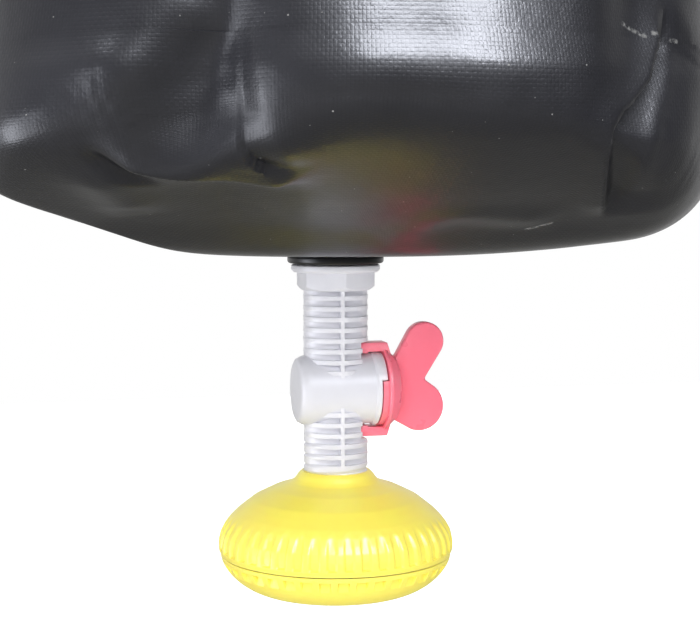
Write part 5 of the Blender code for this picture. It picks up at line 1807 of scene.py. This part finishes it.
@dataclass(frozen=True)
class Softbox:
    """A soft studio lamp, aimed at the outlet.

    Attributes:
        name: The lamp's name.
        turn: Degrees to the right of the camera, seen from the outlet.
        climb: Degrees above the outlet.
        away: Its distance in metres.
        size: Its width and height.
        power: Its power in watts.
        roll: Degrees that it is turned in its own plane.
        sheen: Whether it shows in reflections.
        lights: Whether it lights dull surfaces.
    """

    name: str
    turn: float
    climb: float
    away: float
    size: tuple
    power: float
    roll: float = 0.0
    sheen: bool = True
    lights: bool = True

    def build(self) -> None:
        """Hangs the lamp."""
        turn = VIEW_TURN - math.pi / 2 + math.radians(self.turn)
        climb = math.radians(self.climb)
        level = math.cos(climb)
        towards = Vector((math.cos(turn) * level, math.sin(turn) * level, math.sin(climb)))
        spot = Vector((0, 0, OUTLET_LEVEL)) + towards * self.away
        deselect()
        bpy.ops.object.light_add(type="AREA", location=spot)
        lamp = bpy.context.active_object
        lamp.name = self.name
        lamp.data.shape = "RECTANGLE"
        lamp.data.size, lamp.data.size_y = self.size
        lamp.data.energy = self.power
        roll = Quaternion((0, 0, 1), math.radians(self.roll))
        lamp.rotation_euler = ((-towards).to_track_quat("-Z", "Y") @ roll).to_euler()
        lamp.visible_glossy, lamp.visible_diffuse = self.sheen, self.lights
        lamp.data.color = DAYLIGHT if self.lights else SKYLIGHT


@dataclass
class Studio:
    """Pale floor, white surround, soft lamps and the camera."""

    floor_drop: float = 0.45
    floor_size: float = 6.0
    distance: float = 0.4825
    camera_rise: float = 0.02165
    pitch: float = 4.737
    heading: float = -13.514
    lens: float = 83.16
    fill: float = 0.74
    floor_glow: float = 0.80
    lamps: tuple = (
        Softbox("lamp_key", -6, 30, 1.6, (1.2, 0.9), 13.0, sheen=False),
        Softbox("lamp_fill", -4, 1, 1.6, (1.2, 0.6), 6.0, sheen=False),
        Softbox("lamp_top", -90, 76, 1.5, (0.9, 0.9), 6.0),
        Softbox("lamp_front", 16, 39, 1.6, (0.84, 0.38), 36.0, 14.0, lights=False),
        Softbox("lamp_right", 39, 32, 1.6, (0.34, 0.32), 16.0, -32.0, lights=False),
        Softbox("lamp_left", -62, 46, 1.4, (0.36, 0.24), 3.5, lights=False),
        Softbox("lamp_low", -75, -15, 0.6, (0.18, 0.34), 0.9, lights=False),
        Softbox("lamp_edge", -66, -12, 0.62, (0.38, 0.48), 1.5, lights=False),
    )

    def direct(self, graph: Graph, path: bpy.types.Node) -> Socket:
        """1 where the camera sees a surface itself, also through another one."""
        rays = path.outputs["Is Camera Ray"], path.outputs["Is Transmission Ray"]
        return graph.sum("MAXIMUM", *rays)

    def build_surround(self) -> None:
        """White where the camera sees it; for gloss, bright behind the bag and dark in front."""
        world = bpy.data.worlds.new("surround")
        bpy.context.scene.world = world
        world.use_nodes = True
        graph = Graph(world.node_tree)
        light = world.node_tree.nodes["Background"]
        path = graph.add("LightPath")
        direct = self.direct(graph, path)
        where = graph.add("SeparateXYZ", {0: graph.add("TexCoord").outputs["Generated"]})
        behind = graph.span(where.outputs[1], -0.1, 0.8, 0.05, 0.9)
        gloss = graph.times(path.outputs["Is Glossy Ray"], behind)
        dull = graph.times(graph.sum("SUBTRACT", 1.0, path.outputs["Is Glossy Ray"]), self.fill)
        strength = graph.sum("MAXIMUM", direct, graph.sum("ADD", gloss, dull))
        graph.feed(light, {"Color": (1, 1, 1, 1), "Strength": strength})

    def build_floor(self) -> None:
        """A pale floor well under the hanging bag, which takes its shadow, and shows a painted
        darker tone in reflections.
        """
        deselect()
        level = OUTLET_LEVEL - self.floor_drop
        bpy.ops.mesh.primitive_plane_add(size=self.floor_size, location=(0, 0, level))
        floor = named("floor")
        bpy.ops.object.transform_apply(location=True, rotation=False, scale=False)
        material, graph, shader, spot, _ = blank("pale_floor")
        path = graph.add("LightPath")
        tone = graph.mix(graph.noise(spot, 3.0), ink(240, 240, 240), ink(234, 234, 235))
        # Painted shade in reflections: towards the front, glossy rays see the floor as a darker
        # warm grey.
        far = graph.span(graph.add("SeparateXYZ", {0: spot}).outputs[1], 0.3, 2.0, 1.0, 0.0)
        under = graph.times(path.outputs["Is Glossy Ray"], far)
        tone = graph.mix(under, tone, ink(122, 121, 114))
        direct = self.direct(graph, path)
        graph.feed(shader, {
            "Base Color": tone,
            "Roughness": 0.8,
            "Emission Color": (1, 1, 1, 1),
            "Emission Strength": graph.times(direct, self.floor_glow),
        })
        floor.data.materials.append(material)

    def build_camera(self) -> None:
        """The camera at the photograph's place and angle."""
        x, y = math.sin(VIEW_TURN) * self.distance, -math.cos(VIEW_TURN) * self.distance
        deselect()
        bpy.ops.object.camera_add(location=(x, y, OUTLET_LEVEL + self.camera_rise))
        camera = bpy.context.active_object
        camera.rotation_euler = (math.radians(90 - self.pitch), 0, math.radians(self.heading))
        camera.data.sensor_width = 36
        camera.data.lens = self.lens
        camera.data.clip_start = 0.01
        bpy.context.scene.camera = camera

    def build(self) -> None:
        """Sets the whole stage."""
        self.build_camera()
        self.build_surround()
        self.build_floor()
        for lamp in self.lamps:
            lamp.build()
        bpy.context.scene.view_settings.view_transform = "Standard"


def main() -> None:
    """Builds the stage and every piece in order."""
    logging.basicConfig(level=logging.INFO, format="%(name)s %(message)s")
    Studio().build()
    WaterBag(Folds()).build()
    ROLL.build()
    HangingLoop().build()
    Washer().build()
    TapValve().build()
    TapKey().build()
    HeadDome().build()
    RoseCap().build()
    KeptPieces().build()


if __name__ == "__main__":
    main()
